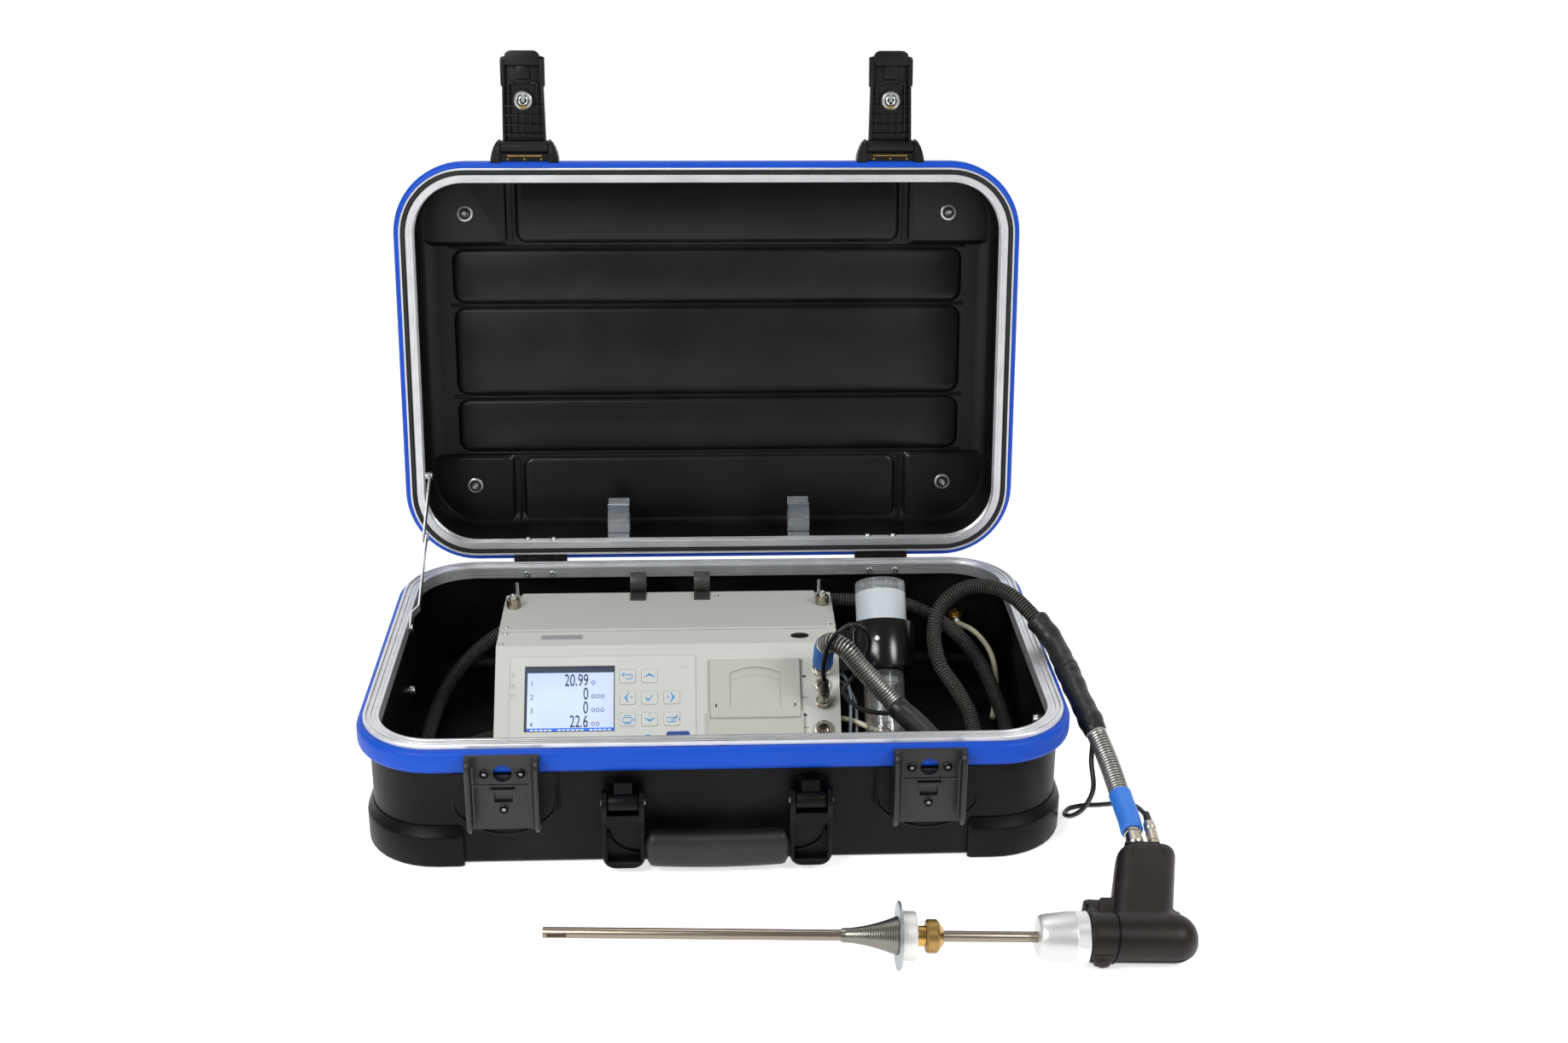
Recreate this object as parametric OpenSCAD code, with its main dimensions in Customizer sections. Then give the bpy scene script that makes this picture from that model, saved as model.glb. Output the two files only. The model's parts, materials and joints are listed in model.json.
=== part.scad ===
// Portable flue-gas detector kit: analyser, filter and hose in a hard case
// with a hinged lid, and a sampling probe lying in front of the case.
// Millimetres. +X right, +Y back, +Z up. The origin is the middle of the
// case's underside.

/* [Case] */
// Width over the aluminium frame
case_w = 560; // [470:5:680]
// Depth over the aluminium frame
case_d = 360; // [330:5:440]
// Height of the joint between base and lid
base_h = 109; // [100:1:135]
// Height of the lid above the joint
lid_h = 88; // [70:1:110]
// Corner radius of the aluminium frame
corner_r = 60; // [48:1:75]
// Wall of the moulded shells
shell_wall = 3; // [2.4:0.1:4]
// Thickness of the case floor
floor_t = 4; // [3:0.5:6]
// How far the lid stands open from shut
lid_angle = 97; // [90:1:105]

/* [Frame and bumper] */
// Width of the frame extrusion
frame_w = 13; // [11:0.5:16]
// Height of the bright band outside each frame
frame_band = 4; // [3:0.5:5]
// Depth of the skirt inside each frame
skirt_h = 12; // [9:0.5:14]
// Height of the bumper band
bumper_h = 20.5; // [16:0.5:24]
// How far the bumper stands out from the frame
bumper_out = 5.5; // [4:0.5:7]

/* [Hinges and stay] */
// Distance of each hinge from the middle
hinge_x = 161; // [120:1:180]
// Length of each hinge
hinge_len = 50; // [36:1:60]
// Radius of the hinge pins
hinge_pin_r = 1.9; // [1.5:0.1:2.2]
// Length of the lower stay arm
stay_lower_len = 101; // [90:1:110]
// Width of the stay arms
stay_w = 9; // [7:0.5:11]

/* [Latches] */
// Distance of each latch from the middle
latch_x = 165; // [140:1:185]
// Width of the latch keeper
keeper_w = 57; // [50:1:62]
// Length of the latch lever from its pin
lever_len = 84; // [76:1:90]
// Width of the lever at its pin
lever_w = 43; // [38:0.5:43]
// Radius of the lock barrel
lock_r = 7.95; // [6:0.05:9]

/* [Carry handle] */
// Distance of each handle arm from the middle
handle_x = 73; // [66:1:90]
// Width of each arm
arm_w = 33; // [29:0.5:37]
// Height of the handle's pivots
handle_z = 62; // [56:1:70]
// Radius of the pivot pins
handle_pin_r = 2; // [1.6:0.1:3]

/* [Analyser] */
// Left side of the analyser
ana_x = -189; // [-192:1:-180]
// Width of the analyser
ana_w = 298; // [290:1:304]
// Height of the analyser's underside
ana_z = 22; // [20:1:26]
// Height of the analyser's top
ana_top = 95; // [90:1:104]
// Depth of the analyser's flat top
ana_top_d = 108; // [100:1:112]
// Slope of the operating panel from level
panel_slope = 48; // [44:1:55]
// Sheet thickness of the housing
sheet_t = 1.5; // [1:0.1:2]
// Thickness of the top plate
plate_t = 2; // [1.5:0.1:3]

/* [Keypad and printer] */
// Width of a key
key_w = 14; // [11:0.5:16]
// Height of a key
key_h = 12; // [10:0.5:15]
// Gap round a key
key_gap = 0.15; // [0.1:0.05:0.3]
// Thickness of the panel foil
foil_t = 0.6; // [0.4:0.1:1]
// Width of the printer
printer_w = 82; // [78:1:84]
// Thickness of the printer door
door_t = 3; // [2:0.2:4]

/* [Filter] */
// Radius of the filter body
filter_r = 22.3; // [18:0.1:23]
// Lean of the filter back from upright
filter_lean = 40; // [32:1:44]
// Radius of the condensate jar
jar_r = 18; // [15:0.5:19]

/* [Hose] */
// Diameter of the braided hose
hose_d = 13; // [11:0.5:14]
// Diameter of the thin leads
lead_d = 4; // [3:0.5:5]
// Turns in the stored coil
coil_turns = 3; // [2:1:3]

/* [Probe] */
// Radius of the probe tube
tube_r = 4; // [3:0.1:5]
// Radius of the stop disc
disc_r = 25; // [20:0.5:30]
// Radius of the handle's barrel
barrel_r = 18; // [15:0.5:19]
// Thickness of the grip
grip_t = 30; // [24:1:33]
// Radial running clearance of pins and shafts
fit = 0.05; // [0.03:0.01:0.08]

/* [Hidden] */
$fn = 48;

// Shell, frame and bumper line up on these
shell_in = 4;                                   // shell's outside, inside the frame's outside
shell_w = case_w - 2 * shell_in;
shell_d = case_d - 2 * shell_in;
shell_r = corner_r - shell_in;
inner_w = shell_w - 2 * shell_wall;
inner_d = shell_d - 2 * shell_wall;
inner_r = shell_r - shell_wall;
front_y = -case_d / 2;
shell_front = front_y + shell_in;
bumper_front = front_y - bumper_out;
joint_gap = 0.3;                                // between the two frames when shut
glue_gap = 0.1;                                 // behind and over the corner guards
guard_top = 36;
hinge_y = case_d / 2 + 4;
hinge_z = base_h;
knuckle_r = 3.8;

// Latch
pad_t = 6;                                      // raised pad on the shell behind a keeper
keeper_t = 3;
keeper_rail = 5;
keeper_bottom = base_h - 70;
keeper_top = base_h - 6;
keeper_front = bumper_front - keeper_t;
latch_pin_r = 2;
latch_y = bumper_front - 12.5;
latch_z = base_h + 13;
ear_t = 6;
ear_gap = 1.5;                                  // between lever and ear
lever_t = 8;
lock_y = latch_y - 41;

// Handle
handle_y = shell_front - 14;
barrel_len = 24;
cheek_t = 4;
cheek_gap = 0.4;

// Analyser
panel_y = 23;                                   // top edge of the sloping panel
panel_foot = panel_y - (ana_top - ana_z) / tan(panel_slope);
panel_len = (ana_top - ana_z) / sin(panel_slope);
ana_back = panel_y + ana_top_d;
ana_right = ana_x + ana_w;
foil_x = 13;
foil_w = 160;
foil_u = 10;                                    // u runs down the panel from its top edge
foil_len = panel_len - foil_u - 4;
screen_x = 26;
screen_u = 19;
screen_w = 76.8;
screen_h = 57.6;
key_x0 = 114;
key_u0 = 28.5;
key_pitch = 19.2;
socket_x = ana_w - 15;
plug_u = 23.6;
pressure_u = 39;
sensor_u = 53.5;
spare_u = 78.5;
printer_x = 183.5;
printer_u = 14.5;
door_len = 52;
door_axis_u = printer_u + door_len;
door_axis_z = 1 + door_t / 2;
nut_y = ana_back - 30;
nut_inset = 9;

// Filter
filter_x = 150;
filter_y = 40;
filter_z = 80;
spigot_r = filter_r - 4.5;
jar_bore = jar_r - 1.8;

// Probe
probe_x = 128;
probe_y = -323;
probe_tail = 202;                               // centre of the handle's round end
probe_tilt = asin((disc_r - barrel_r) / probe_tail);
neck_r = 7;                                     // threaded neck of the depth stop
neck_end = 24;
grip_lift = 14;
grip_len = 92;
trigger_pin = [150, 27];

// Hose route from the analyser's socket to the coil
front_route = [
    [94, -2, 87], [94, -11, 101], [95, -20, 113], [101, -30, 120], [111, -38, 117],
    [124, -46, 103], [141, -57, 87], [154, -68, 76], [168, -86, 70], [181, -105, 62],
    [196, -122, 50], [218, -130, 34], [240, -118, 22], [252, -90, 16], [256, -55, 17],
    [257, -15, 22], [253, 28, 33], [243, 66, 50], [223, 97, 68], [183, 134, 79],
    [150, 143, 80], [114, 146, 80], [70, 147, 79], [20, 147, 78], [-40, 147, 77],
    [-100, 147, 75], [-150, 146, 70], [-190, 138, 58], [-220, 118, 43], [-240, 88, 28],
    [-249, 50, 17], [-252, 10, 12], [-251, -25, 10.5], [-251, -56, 10.5]
];
// Hose route from the coil over the right-hand rim to the probe's grip
back_route = [
    [-158, -123, 10.5], [-135, -122, 15], [-111, -121, 23.5], [-86, -121, 25.5], [-60, -123, 22],
    [-34, -128, 15], [-5, -134, 11], [40, -140, 10.5], [90, -143, 10.5], [140, -142, 10.5],
    [180, -134, 12], [206, -112, 20], [219, -76, 34], [219, -38, 53], [209, -15, 67],
    [197, 4, 81], [194, 30, 99], [200, 42, 117], [211, 43, 130], [224, 39, 139],
    [237, 32, 143], [249, 22, 144], [260, 11, 141], [276, -6, 129], [288, -22, 117],
    [295, -50, 106], [301, -85, 94], [308, -120, 82], [314, -150, 69], [318, -182, 56],
    [320, -205, 49], [320, -222, 45]
];
// Thermocouple lead from the analyser's sensor socket to the hose's sleeve
sensor_route = [
    [94, -21, 63], [94, -29, 78], [92, -36, 100], [96, -43, 124], [104, -46, 138],
    [114, -44, 143], [125, -38, 136], [131, -29, 120], [130, -20, 103], [127, -12, 87],
    [119, -8, 75], [112, -13, 69], [113, -25, 66], [121, -38, 63], [133, -50, 64],
    [146, -62, 69], [157, -73, 74]
];
// Thermocouple lead from the hose's outer sleeve to the nut on the grip
probe_route = [
    [307, -123, 81], [302, -143, 66], [302, -157, 48], [297, -152, 28], [291, -136, 11],
    [288, -122, 4], [294, -111, 3], [304, -112, 6], [315, -128, 16], [324, -152, 31],
    [331, -180, 45], [334, -205, 50], [334, -222, 47]
];
coil_c = [-158, -58];
coil_r = 93;                                    // middle of the outermost turn
coil_pitch = 14;
fitting_r = 9;

// ---- shared shapes ----

module rounded_rect(w, d, r) {
    square([w, d - 2 * r], center = true);
    square([w - 2 * r, d], center = true);
    for (x = [-1, 1], y = [-1, 1])
        translate([x * (w / 2 - r), y * (d / 2 - r)]) circle(r);
}

// Carries a profile round the case: x is outward from the frame's outside
module ring() {
    for (k = [0 : 3]) {
        half = k % 2 == 0 ? case_w / 2 : case_d / 2;
        run = (k % 2 == 0 ? case_d : case_w) - 2 * corner_r;
        rotate([0, 0, 90 * k]) {
            translate([half, 0, 0]) rotate([90, 0, 0]) linear_extrude(run, center = true) children();
            translate([half - corner_r, run / 2, 0])
                rotate_extrude(angle = 90) translate([corner_r, 0]) children();
        }
    }
}

// Everything on the lid is drawn shut and swung up by this
module opened() {
    translate([0, hinge_y, hinge_z]) rotate([-lid_angle, 0, 0])
        translate([0, -hinge_y, -hinge_z]) children();
}

module both_sides(x) {
    for (s = [-1, 1]) translate([s * x, 0, 0]) children();
}

// Extrudes a side view, drawn as [y, z], along X
module side_view(x0, w) {
    translate([x0, 0, 0]) rotate([90, 0, 90]) linear_extrude(w) children();
}

module x_rod(x0, x1, r) {
    translate([x0, 0, 0]) rotate([0, 90, 0]) cylinder(h = x1 - x0, r = r);
}

function arc(cx, cy, r, a0, a1, n = 6) =
    [for (i = [0 : n]) [cx + r * cos(a0 + (a1 - a0) * i / n), cy + r * sin(a0 + (a1 - a0) * i / n)]];

// Tube along a route: a ring of corners at each point
function unit(v) = v / norm(v);
function heading(p, i) = unit(p[min(i + 1, len(p) - 1)] - p[max(i - 1, 0)]);
function flatten_to(v, t) = unit(v - (v * t) * t);
function sides_of(p, i = 0, prev = [0, 0, 0]) =
    i == len(p) ? [] :
    let (t = heading(p, i), guess = i == 0 ? (abs(t.z) < 0.8 ? [0, 0, 1] : [1, 0, 0]) : prev,
        s = flatten_to(guess, t))
    concat([s], sides_of(p, i + 1, s));
function slice(p, a, b) = [for (i = [a : b]) p[i]];

module tube(p, r, n = 10) {
    s = sides_of(p);
    corners = [for (i = [0 : len(p) - 1], k = [0 : n - 1])
        let (t = heading(p, i), a = 360 * k / n)
        p[i] + r * (cos(a) * s[i] + sin(a) * cross(t, s[i]))];
    walls = [for (i = [0 : len(p) - 2], k = [0 : n - 1])
        let (a = i * n + k, b = i * n + (k + 1) % n)
        each [[a, a + n, b + n], [a, b + n, b]]];
    last = (len(p) - 1) * n;
    caps = [[for (k = [0 : n - 1]) k], [for (k = [n - 1 : -1 : 0]) last + k]];
    polyhedron(corners, concat(walls, caps), convexity = 6);
}

// ---- case base ----

module bumper_profile(dir) {
    z0 = dir * frame_band;
    z1 = dir * (frame_band + bumper_h);
    r = 4;
    o = bumper_out;
    translate([0, base_h]) polygon(concat(
        [[-shell_in, z0], [o - 2 * r + 1, z0]],
        [for (p = arc(o - r, frame_band + r, r, -90, 0)) [p.x, dir * p.y]],
        [for (p = arc(o - r, frame_band + bumper_h - r, r, 0, 90)) [p.x, dir * p.y]],
        [[-shell_in, z1]]));
}

module base_shell() {
    color([0.09, 0.09, 0.09]) {
        difference() {
            linear_extrude(base_h - frame_band) rounded_rect(shell_w, shell_d, shell_r);
            translate([0, 0, floor_t]) linear_extrude(base_h) rounded_rect(inner_w, inner_d, inner_r);
        }
        both_sides(latch_x)
            translate([-39, shell_front - pad_t, guard_top + glue_gap])
                cube([78, pad_t, base_h - frame_band - bumper_h - guard_top - glue_gap]);
    }
}

module base_bumper() {
    color([0.02, 0.2, 0.8]) ring() bumper_profile(-1);
}

module base_rim() {
    top = -joint_gap;
    color([0.8, 0.81, 0.82]) ring() translate([0, base_h]) polygon([
        [0, -frame_band], [0, top], [-2.5, top], [-2.5, -2], [-4, -2], [-4, -0.8], [-6.5, -0.8],
        [-6.5, -2], [-8, -2], [-8, -1.2], [-frame_w, -1.2], [-frame_w, -skirt_h],
        [2 - frame_w, -skirt_h], [2 - frame_w, -frame_band]]);
}

module corner_guards() {
    top = guard_top;
    run = 22;
    out = 1.5;
    color([0.07, 0.07, 0.07])
        for (x = [0, 1], y = [0, 1]) mirror([x, 0, 0]) mirror([0, y, 0])
            translate([case_w / 2 - corner_r, case_d / 2 - corner_r, 0]) {
                rotate_extrude(angle = 90) translate([corner_r, 0]) guard_profile(top, out);
                rotate([90, 0, 0]) linear_extrude(run) translate([corner_r, 0]) guard_profile(top, out);
                translate([-run, 0, 0]) rotate([90, 0, 90]) linear_extrude(run)
                    translate([corner_r, 0]) guard_profile(top, out);
            }
}

module guard_profile(top, out) {
    back = glue_gap - shell_in;
    polygon([[back, 0], [out - 2, 0], [out, 2], [out, top - 8], [back, top]]);
}

module latch_keepers() {
    body = base_h - frame_band - bumper_h;
    color([0.08, 0.08, 0.08]) both_sides(latch_x) difference() {
        union() {
            translate([-keeper_w / 2, keeper_front, keeper_bottom])
                cube([keeper_w, keeper_t, keeper_top - keeper_bottom]);
            translate([-keeper_w / 2, bumper_front, keeper_bottom])
                cube([keeper_w, shell_front - pad_t - bumper_front, body - keeper_bottom]);
            for (x = [-keeper_w / 2, keeper_w / 2 - keeper_rail])
                side_view(x, keeper_rail) polygon(concat(
                    [[keeper_front, keeper_bottom], [keeper_front, keeper_top]],
                    arc(keeper_front - 4, keeper_top - 6, 5.5, 60, 180),
                    arc(keeper_front - 2, keeper_bottom + 12, 7.5, 180, 250)));
        }
        translate([0, keeper_front - 1, 88]) rotate([-90, 0, 0]) cylinder(h = keeper_t + 2, r = 7);
        translate([-9.5, keeper_front - 1, 74]) cube([19, keeper_t + 1, 5.5]);
        translate([-7, keeper_front - 1, 63]) cube([14, keeper_t + 1, 8]);
    }
}

module pan_head(r, h) {
    difference() {
        cylinder(h = h, r1 = r, r2 = r * 0.8);
        translate([0, 0, h * 0.4]) cylinder(h = h, r = r * 0.35, $fn = 6);
    }
}

module base_fasteners() {
    skirt_y = case_d / 2 - frame_w;
    skirt_z = base_h - skirt_h / 2 - 2;
    color([0.6, 0.6, 0.6]) {
        both_sides(latch_x) for (p = [[-14, 88], [14, 88], [0, 57]])
            translate([p.x, keeper_front, p.y]) rotate([90, 0, 0]) pan_head(3.4, 1.8);
        both_sides(hinge_x) both_sides(12)
            translate([0, skirt_y, skirt_z]) rotate([90, 0, 0]) pan_head(3.2, 2.2);
        translate([-inner_w / 2, 70, 30]) rotate([0, 90, 0]) pan_head(5, 4);
        translate([-inner_w / 2, -85, 60]) rotate([0, 90, 0]) pan_head(5, 4);
        translate([inner_w / 2, -60, 60]) rotate([0, -90, 0]) pan_head(5, 4);
        // Guide pins in the notches of the analyser's top plate
        for (x = [ana_x + 10.5, ana_right - 10.5])
            translate([x, ana_back - 7, ana_top]) cylinder(h = 16, r = 1.8);
        // Pivot of the lid stay on the frame's skirt
        translate([0, stay_base.x, stay_base.y]) {
            x_rod(frame_w - case_w / 2, stay_x0 + stay_t + 1.6, 2);
            x_rod(stay_x0 + stay_t + 0.15, stay_x0 + stay_t + 1.6, 3.5);
        }
    }
}

module handle_brackets() {
    color([0.08, 0.08, 0.08]) both_sides(handle_x) {
        translate([-10, shell_front - 2, handle_z - 12]) cube([20, 2, 34 - 8]);
        difference() {
            union() {
                side_view(-7, 14) polygon([
                    [shell_front - 2, handle_z + 14], [shell_front - 9, handle_z + 14],
                    [handle_y - 3, handle_z + 3], [handle_y, handle_z - 4],
                    [shell_front - 2, handle_z - 8]]);
                translate([0, handle_y, handle_z]) x_rod(-barrel_len / 2, barrel_len / 2, 7);
            }
            translate([0, handle_y, handle_z])
                x_rod(-barrel_len / 2 - 1, barrel_len / 2 + 1, handle_pin_r + fit);
        }
    }
}

module base_hinges() {
    color([0.12, 0.12, 0.12]) both_sides(hinge_x) {
        translate([0, hinge_y, hinge_z]) {
            x_rod(-hinge_len / 4, hinge_len / 4, knuckle_r);
            x_rod(-hinge_len / 2, hinge_len / 2, hinge_pin_r);
        }
        translate([-hinge_len / 4, case_d / 2, hinge_z - knuckle_r])
            cube([hinge_len / 2, hinge_y - case_d / 2, knuckle_r - 0.5]);
    }
}

// ---- carry handle ----

module handle_frame() {
    low = handle_z - 56;
    color([0.08, 0.08, 0.08]) {
        both_sides(handle_x) difference() {
            union() {
                for (x = [-arm_w / 2, arm_w / 2 - cheek_t])
                    side_view(x, cheek_t) polygon(concat(
                        arc(handle_y, handle_z, 10, 0, 180, 12),
                        [[handle_y - 7, handle_z - 14], [handle_y + 7, handle_z - 14]]));
                translate([0, handle_y + 6, 0]) rotate([90, 0, 0]) linear_extrude(12)
                    polygon(concat([[-arm_w / 2, handle_z - 9], [arm_w / 2, handle_z - 9]],
                        arc(arm_w / 2 - 10, low + 10, 10, 0, -90),
                        arc(10 - arm_w / 2, low + 10, 10, -90, -180)));
                translate([0, handle_y, handle_z]) x_rod(-arm_w / 2, arm_w / 2, handle_pin_r);
            }
            translate([3.5 - arm_w / 2, handle_y - 7, low + 6]) cube([arm_w - 7, 8, handle_z - 24 - low]);
        }
        translate([arm_w / 2 - handle_x, handle_y - 6, low + 8])
            cube([2 * handle_x - arm_w, 10, 14]);
    }
}

module handle_grip() {
    low = handle_z - 56;
    len_x = 2 * handle_x - arm_w - 1;
    color([0.1, 0.1, 0.1]) difference() {
        translate([0, handle_y - 2, low + 16]) rotate([90, 0, 90])
            linear_extrude(len_x, center = true) rounded_rect(20, 32, 9.5);
        translate([-handle_x, handle_y - 6, low + 8]) cube([2 * handle_x, 10, 14]);
    }
}

// ---- lid ----

module lid_shell() {
    top = base_h + lid_h;
    ceiling = top - shell_wall;
    color([0.09, 0.09, 0.09]) opened() {
        difference() {
            translate([0, 0, base_h + frame_band])
                linear_extrude(lid_h - frame_band) rounded_rect(shell_w, shell_d, shell_r);
            translate([0, 0, base_h]) linear_extrude(lid_h - shell_wall) rounded_rect(inner_w, inner_d, inner_r);
        }
        for (y = [-100, -44.6, 44.6, 100])
            translate([-inner_w / 2, y - 3, ceiling - 4]) cube([inner_w, 6, 4]);
        for (x = [-195, 195], y = [103, 3 - inner_d / 2])
            translate([x - 3, y, ceiling - 4]) cube([6, inner_d / 2 - 106, 4]);
    }
}

module lid_bumper() {
    color([0.02, 0.2, 0.8]) opened() ring() bumper_profile(1);
}

module lid_rim() {
    low = joint_gap;
    color([0.8, 0.81, 0.82]) opened() ring() translate([0, base_h]) polygon([
        [0, frame_band], [0, low], [-1.8, low], [-1.8, 3], [-6, 3], [-6, low], [-frame_w, low],
        [-frame_w, skirt_h], [2 - frame_w, skirt_h], [2 - frame_w, frame_band]]);
}

module lid_seal() {
    color([0.05, 0.05, 0.05]) opened() ring() translate([0, base_h]) polygon([
        [-1.8, 3], [-6, 3], [-6, 1.2], [-5, 0.6], [-2.8, 0.6], [-1.8, 1.2]]);
}

module lid_fasteners() {
    ceiling = base_h + lid_h - shell_wall;
    rear = case_d / 2 - frame_w;
    color([0.75, 0.75, 0.75]) opened() {
        for (x = [-229, 229], y = [-132, 132]) translate([x, y, ceiling]) mirror([0, 0, 1]) {
            difference() {
                cylinder(h = 1.2, r = 8);
                translate([0, 0, -1]) cylinder(h = 3, r = 3);
            }
            cylinder(h = 1.2, r = 3);
            translate([0, 0, 1.2]) pan_head(4.5, 3);
        }
        both_sides(hinge_x) both_sides(12)
            translate([0, rear, base_h + skirt_h / 2 + 2]) rotate([90, 0, 0]) pan_head(3.2, 2.2);
        translate([0, stay_lid.x, stay_lid.y]) {
            x_rod(frame_w - case_w / 2, stay_x1 - 0.15, 3.5);
            x_rod(frame_w - case_w / 2, stay_x1 + stay_t + 1.6, 2);
            x_rod(stay_x1 + stay_t + 0.15, stay_x1 + stay_t + 1.6, 3.5);
        }
    }
}

// Two sprung sheet clips on the lid's rear wall, for carrying the probe
module probe_clips() {
    wall_y = inner_d / 2;
    z = base_h + 32;
    t = 1.2;
    color([0.7, 0.72, 0.74]) opened() for (x = [-88, 84]) side_view(x - 10, 20) {
        translate([wall_y - t, z - 16]) square([t, 32]);
        for (m = [0, 1]) translate([0, z]) mirror([0, m]) polygon([
            [wall_y - t, 15], [wall_y - t, 16], [wall_y - 8, 14], [wall_y - 22, 16],
            [wall_y - 30, 9], [wall_y - 36, 13], [wall_y - 36.8, 12], [wall_y - 30, 7.4],
            [wall_y - 21.5, 14.6], [wall_y - 8, 12.6]]);
    }
}

module lid_hinges() {
    inner = hinge_len / 4 + 0.4;
    outer = hinge_len / 2 - 0.4;
    color([0.12, 0.12, 0.12]) opened() both_sides(hinge_x) for (m = [0, 1]) mirror([m, 0, 0])
        difference() {
            union() {
                translate([0, hinge_y, hinge_z]) x_rod(inner, outer, knuckle_r);
                translate([inner, case_d / 2, hinge_z + 0.5])
                    cube([outer - inner, hinge_y - case_d / 2, knuckle_r - 0.5]);
            }
            translate([0, hinge_y, hinge_z]) x_rod(inner - 1, outer + 1, hinge_pin_r + fit);
        }
}

// ---- latches, drawn shut-lid with the lever raised ----

module latch_bases() {
    half = lever_w / 2 + ear_gap;
    color([0.08, 0.08, 0.08]) opened() both_sides(latch_x) {
        translate([-half - ear_t, bumper_front - 3, base_h + 5])
            cube([2 * (half + ear_t), 3, bumper_h - 2]);
        for (x = [-half - ear_t, half]) side_view(x, ear_t) polygon(concat(
            [[bumper_front - 3, base_h + 23], [bumper_front - 3, base_h + 5]],
            arc(latch_y - 2, latch_z - 1, 7.5, -110, -220),
            [[latch_y + 5, base_h + 23]]));
        translate([0, latch_y, latch_z]) x_rod(-half - ear_t / 2, half + ear_t / 2, latch_pin_r);
    }
}

module latch_lever(x) {
    tip = latch_y - lever_len;
    tip_w = lever_w - 5;
    low = latch_z - 1;
    color([0.09, 0.09, 0.09]) opened() translate([x, 0, 0]) difference() {
        union() {
            translate([0, latch_y, latch_z]) x_rod(-lever_w / 2, lever_w / 2, 6);
            translate([0, 0, low]) linear_extrude(lever_t) polygon(concat(
                [[lever_w / 2, latch_y], [-lever_w / 2, latch_y], [-lever_w / 2, latch_y - 20]],
                arc(5 - tip_w / 2, tip + 5, 5, 180, 270), arc(tip_w / 2 - 5, tip + 5, 5, -90, 0),
                [[lever_w / 2, latch_y - 20]]));
            // Hook that draws the lid down on the keeper
            translate([-8, latch_y - 30, low - 4]) cube([16, 8, 5]);
        }
        translate([0, latch_y, latch_z]) x_rod(-lever_w, lever_w, latch_pin_r + fit);
        translate([0, lock_y, low - 1]) cylinder(h = lever_t + 2, r = lock_r + fit);
        // Hollows between the ribs of the underside
        for (k = [0 : 3]) translate([-13, latch_y - 61 - 5 * k, low - 1]) cube([26, 3, 4]);
        for (s = [-1, 1]) translate([s * 13 - 3, latch_y - 29, low - 1]) cube([6, 14, 4]);
    }
}

module latch_lever_left() { latch_lever(-latch_x); }
module latch_lever_right() { latch_lever(latch_x); }

module lock_barrel(x) {
    low = latch_z - 1;
    color([0.75, 0.7, 0.55]) opened() translate([x, lock_y, 0]) {
        translate([0, 0, low - 1]) cylinder(h = lever_t + 1.2, r = lock_r);
        difference() {
            translate([0, 0, low + lever_t + 0.2]) cylinder(h = 1.2, r = lock_r + 1);
            translate([-0.8, -4, low + lever_t + 0.6]) cube([1.6, 8, 2]);
        }
        translate([-3, -3, low - 3]) cube([6, 10, 2]);
    }
}

module lock_barrel_left() { lock_barrel(-latch_x); }
module lock_barrel_right() { lock_barrel(latch_x); }

// ---- lid stay ----

function swing_open(p) = [
    hinge_y + (p.x - hinge_y) * cos(lid_angle) + (p.y - hinge_z) * sin(lid_angle),
    hinge_z - (p.x - hinge_y) * sin(lid_angle) + (p.y - hinge_z) * cos(lid_angle)];
stay_base = [case_d / 2 - 132, base_h - 7];     // [y, z] of the pivot on the base
stay_lid = [case_d / 2 - 76, base_h + 7];       // [y, z] of the pivot on the shut lid
stay_top = swing_open(stay_lid);
stay_reach = norm(stay_top - stay_base);
stay_dir = atan2(stay_top.y - stay_base.y, stay_top.x - stay_base.x);
stay_t = 1.4;
stay_x0 = frame_w - case_w / 2 + 0.6;           // lower arm at its pivot
stay_x1 = stay_x0 + 3.5;                        // upper arm
stay_x2 = stay_x1 + stay_t + 1;                 // lower arm past its jog

module arm_end(y, r) {
    translate([0, y, 0]) rotate([0, 90, 0]) cylinder(h = 40, r = r, center = true);
}

module stay_lower_arm() {
    l = stay_lower_len;
    jog0 = 14;
    jog1 = 22;
    color([0.7, 0.72, 0.74]) translate([0, stay_base.x, stay_base.y]) rotate([stay_dir, 0, 0]) {
        difference() {
            intersection() {
                translate([0, 0, -stay_w / 2]) linear_extrude(stay_w) polygon([
                    [stay_x0, -6], [stay_x0 + stay_t, -6], [stay_x0 + stay_t, jog0],
                    [stay_x2 + stay_t, jog1], [stay_x2 + stay_t, l + 6], [stay_x2, l + 6],
                    [stay_x2, jog1], [stay_x0, jog0]]);
                union() {
                    translate([-case_w, 0, -stay_w / 2]) cube([2 * case_w, l, stay_w]);
                    translate([stay_x2, 0, 0]) { arm_end(0, stay_w / 2); arm_end(l, stay_w / 2); }
                }
            }
            translate([stay_x2, 0, 0]) arm_end(0, 2 + fit);
        }
        translate([0, l, 0]) x_rod(stay_x2 - 0.8, stay_x2, 2.5);
        translate([0, l, 0]) x_rod(stay_x2 + stay_t, stay_x2 + stay_t + 1.2, 3.5);
    }
}

module stay_upper_arm() {
    l = stay_reach - stay_lower_len;
    color([0.7, 0.72, 0.74]) translate([0, stay_top.x, stay_top.y]) rotate([stay_dir + 180, 0, 0])
        difference() {
            union() {
                translate([stay_x1, 0, -stay_w / 2]) cube([stay_t, l, stay_w]);
                translate([0, 0, 0]) x_rod(stay_x1, stay_x1 + stay_t, stay_w / 2);
                translate([0, l, 0]) x_rod(stay_x1, stay_x1 + stay_t, stay_w / 2);
            }
            x_rod(stay_x1 - 1, stay_x1 + stay_t + 1, 2 + fit);
        }
}

// ---- analyser ----

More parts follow.
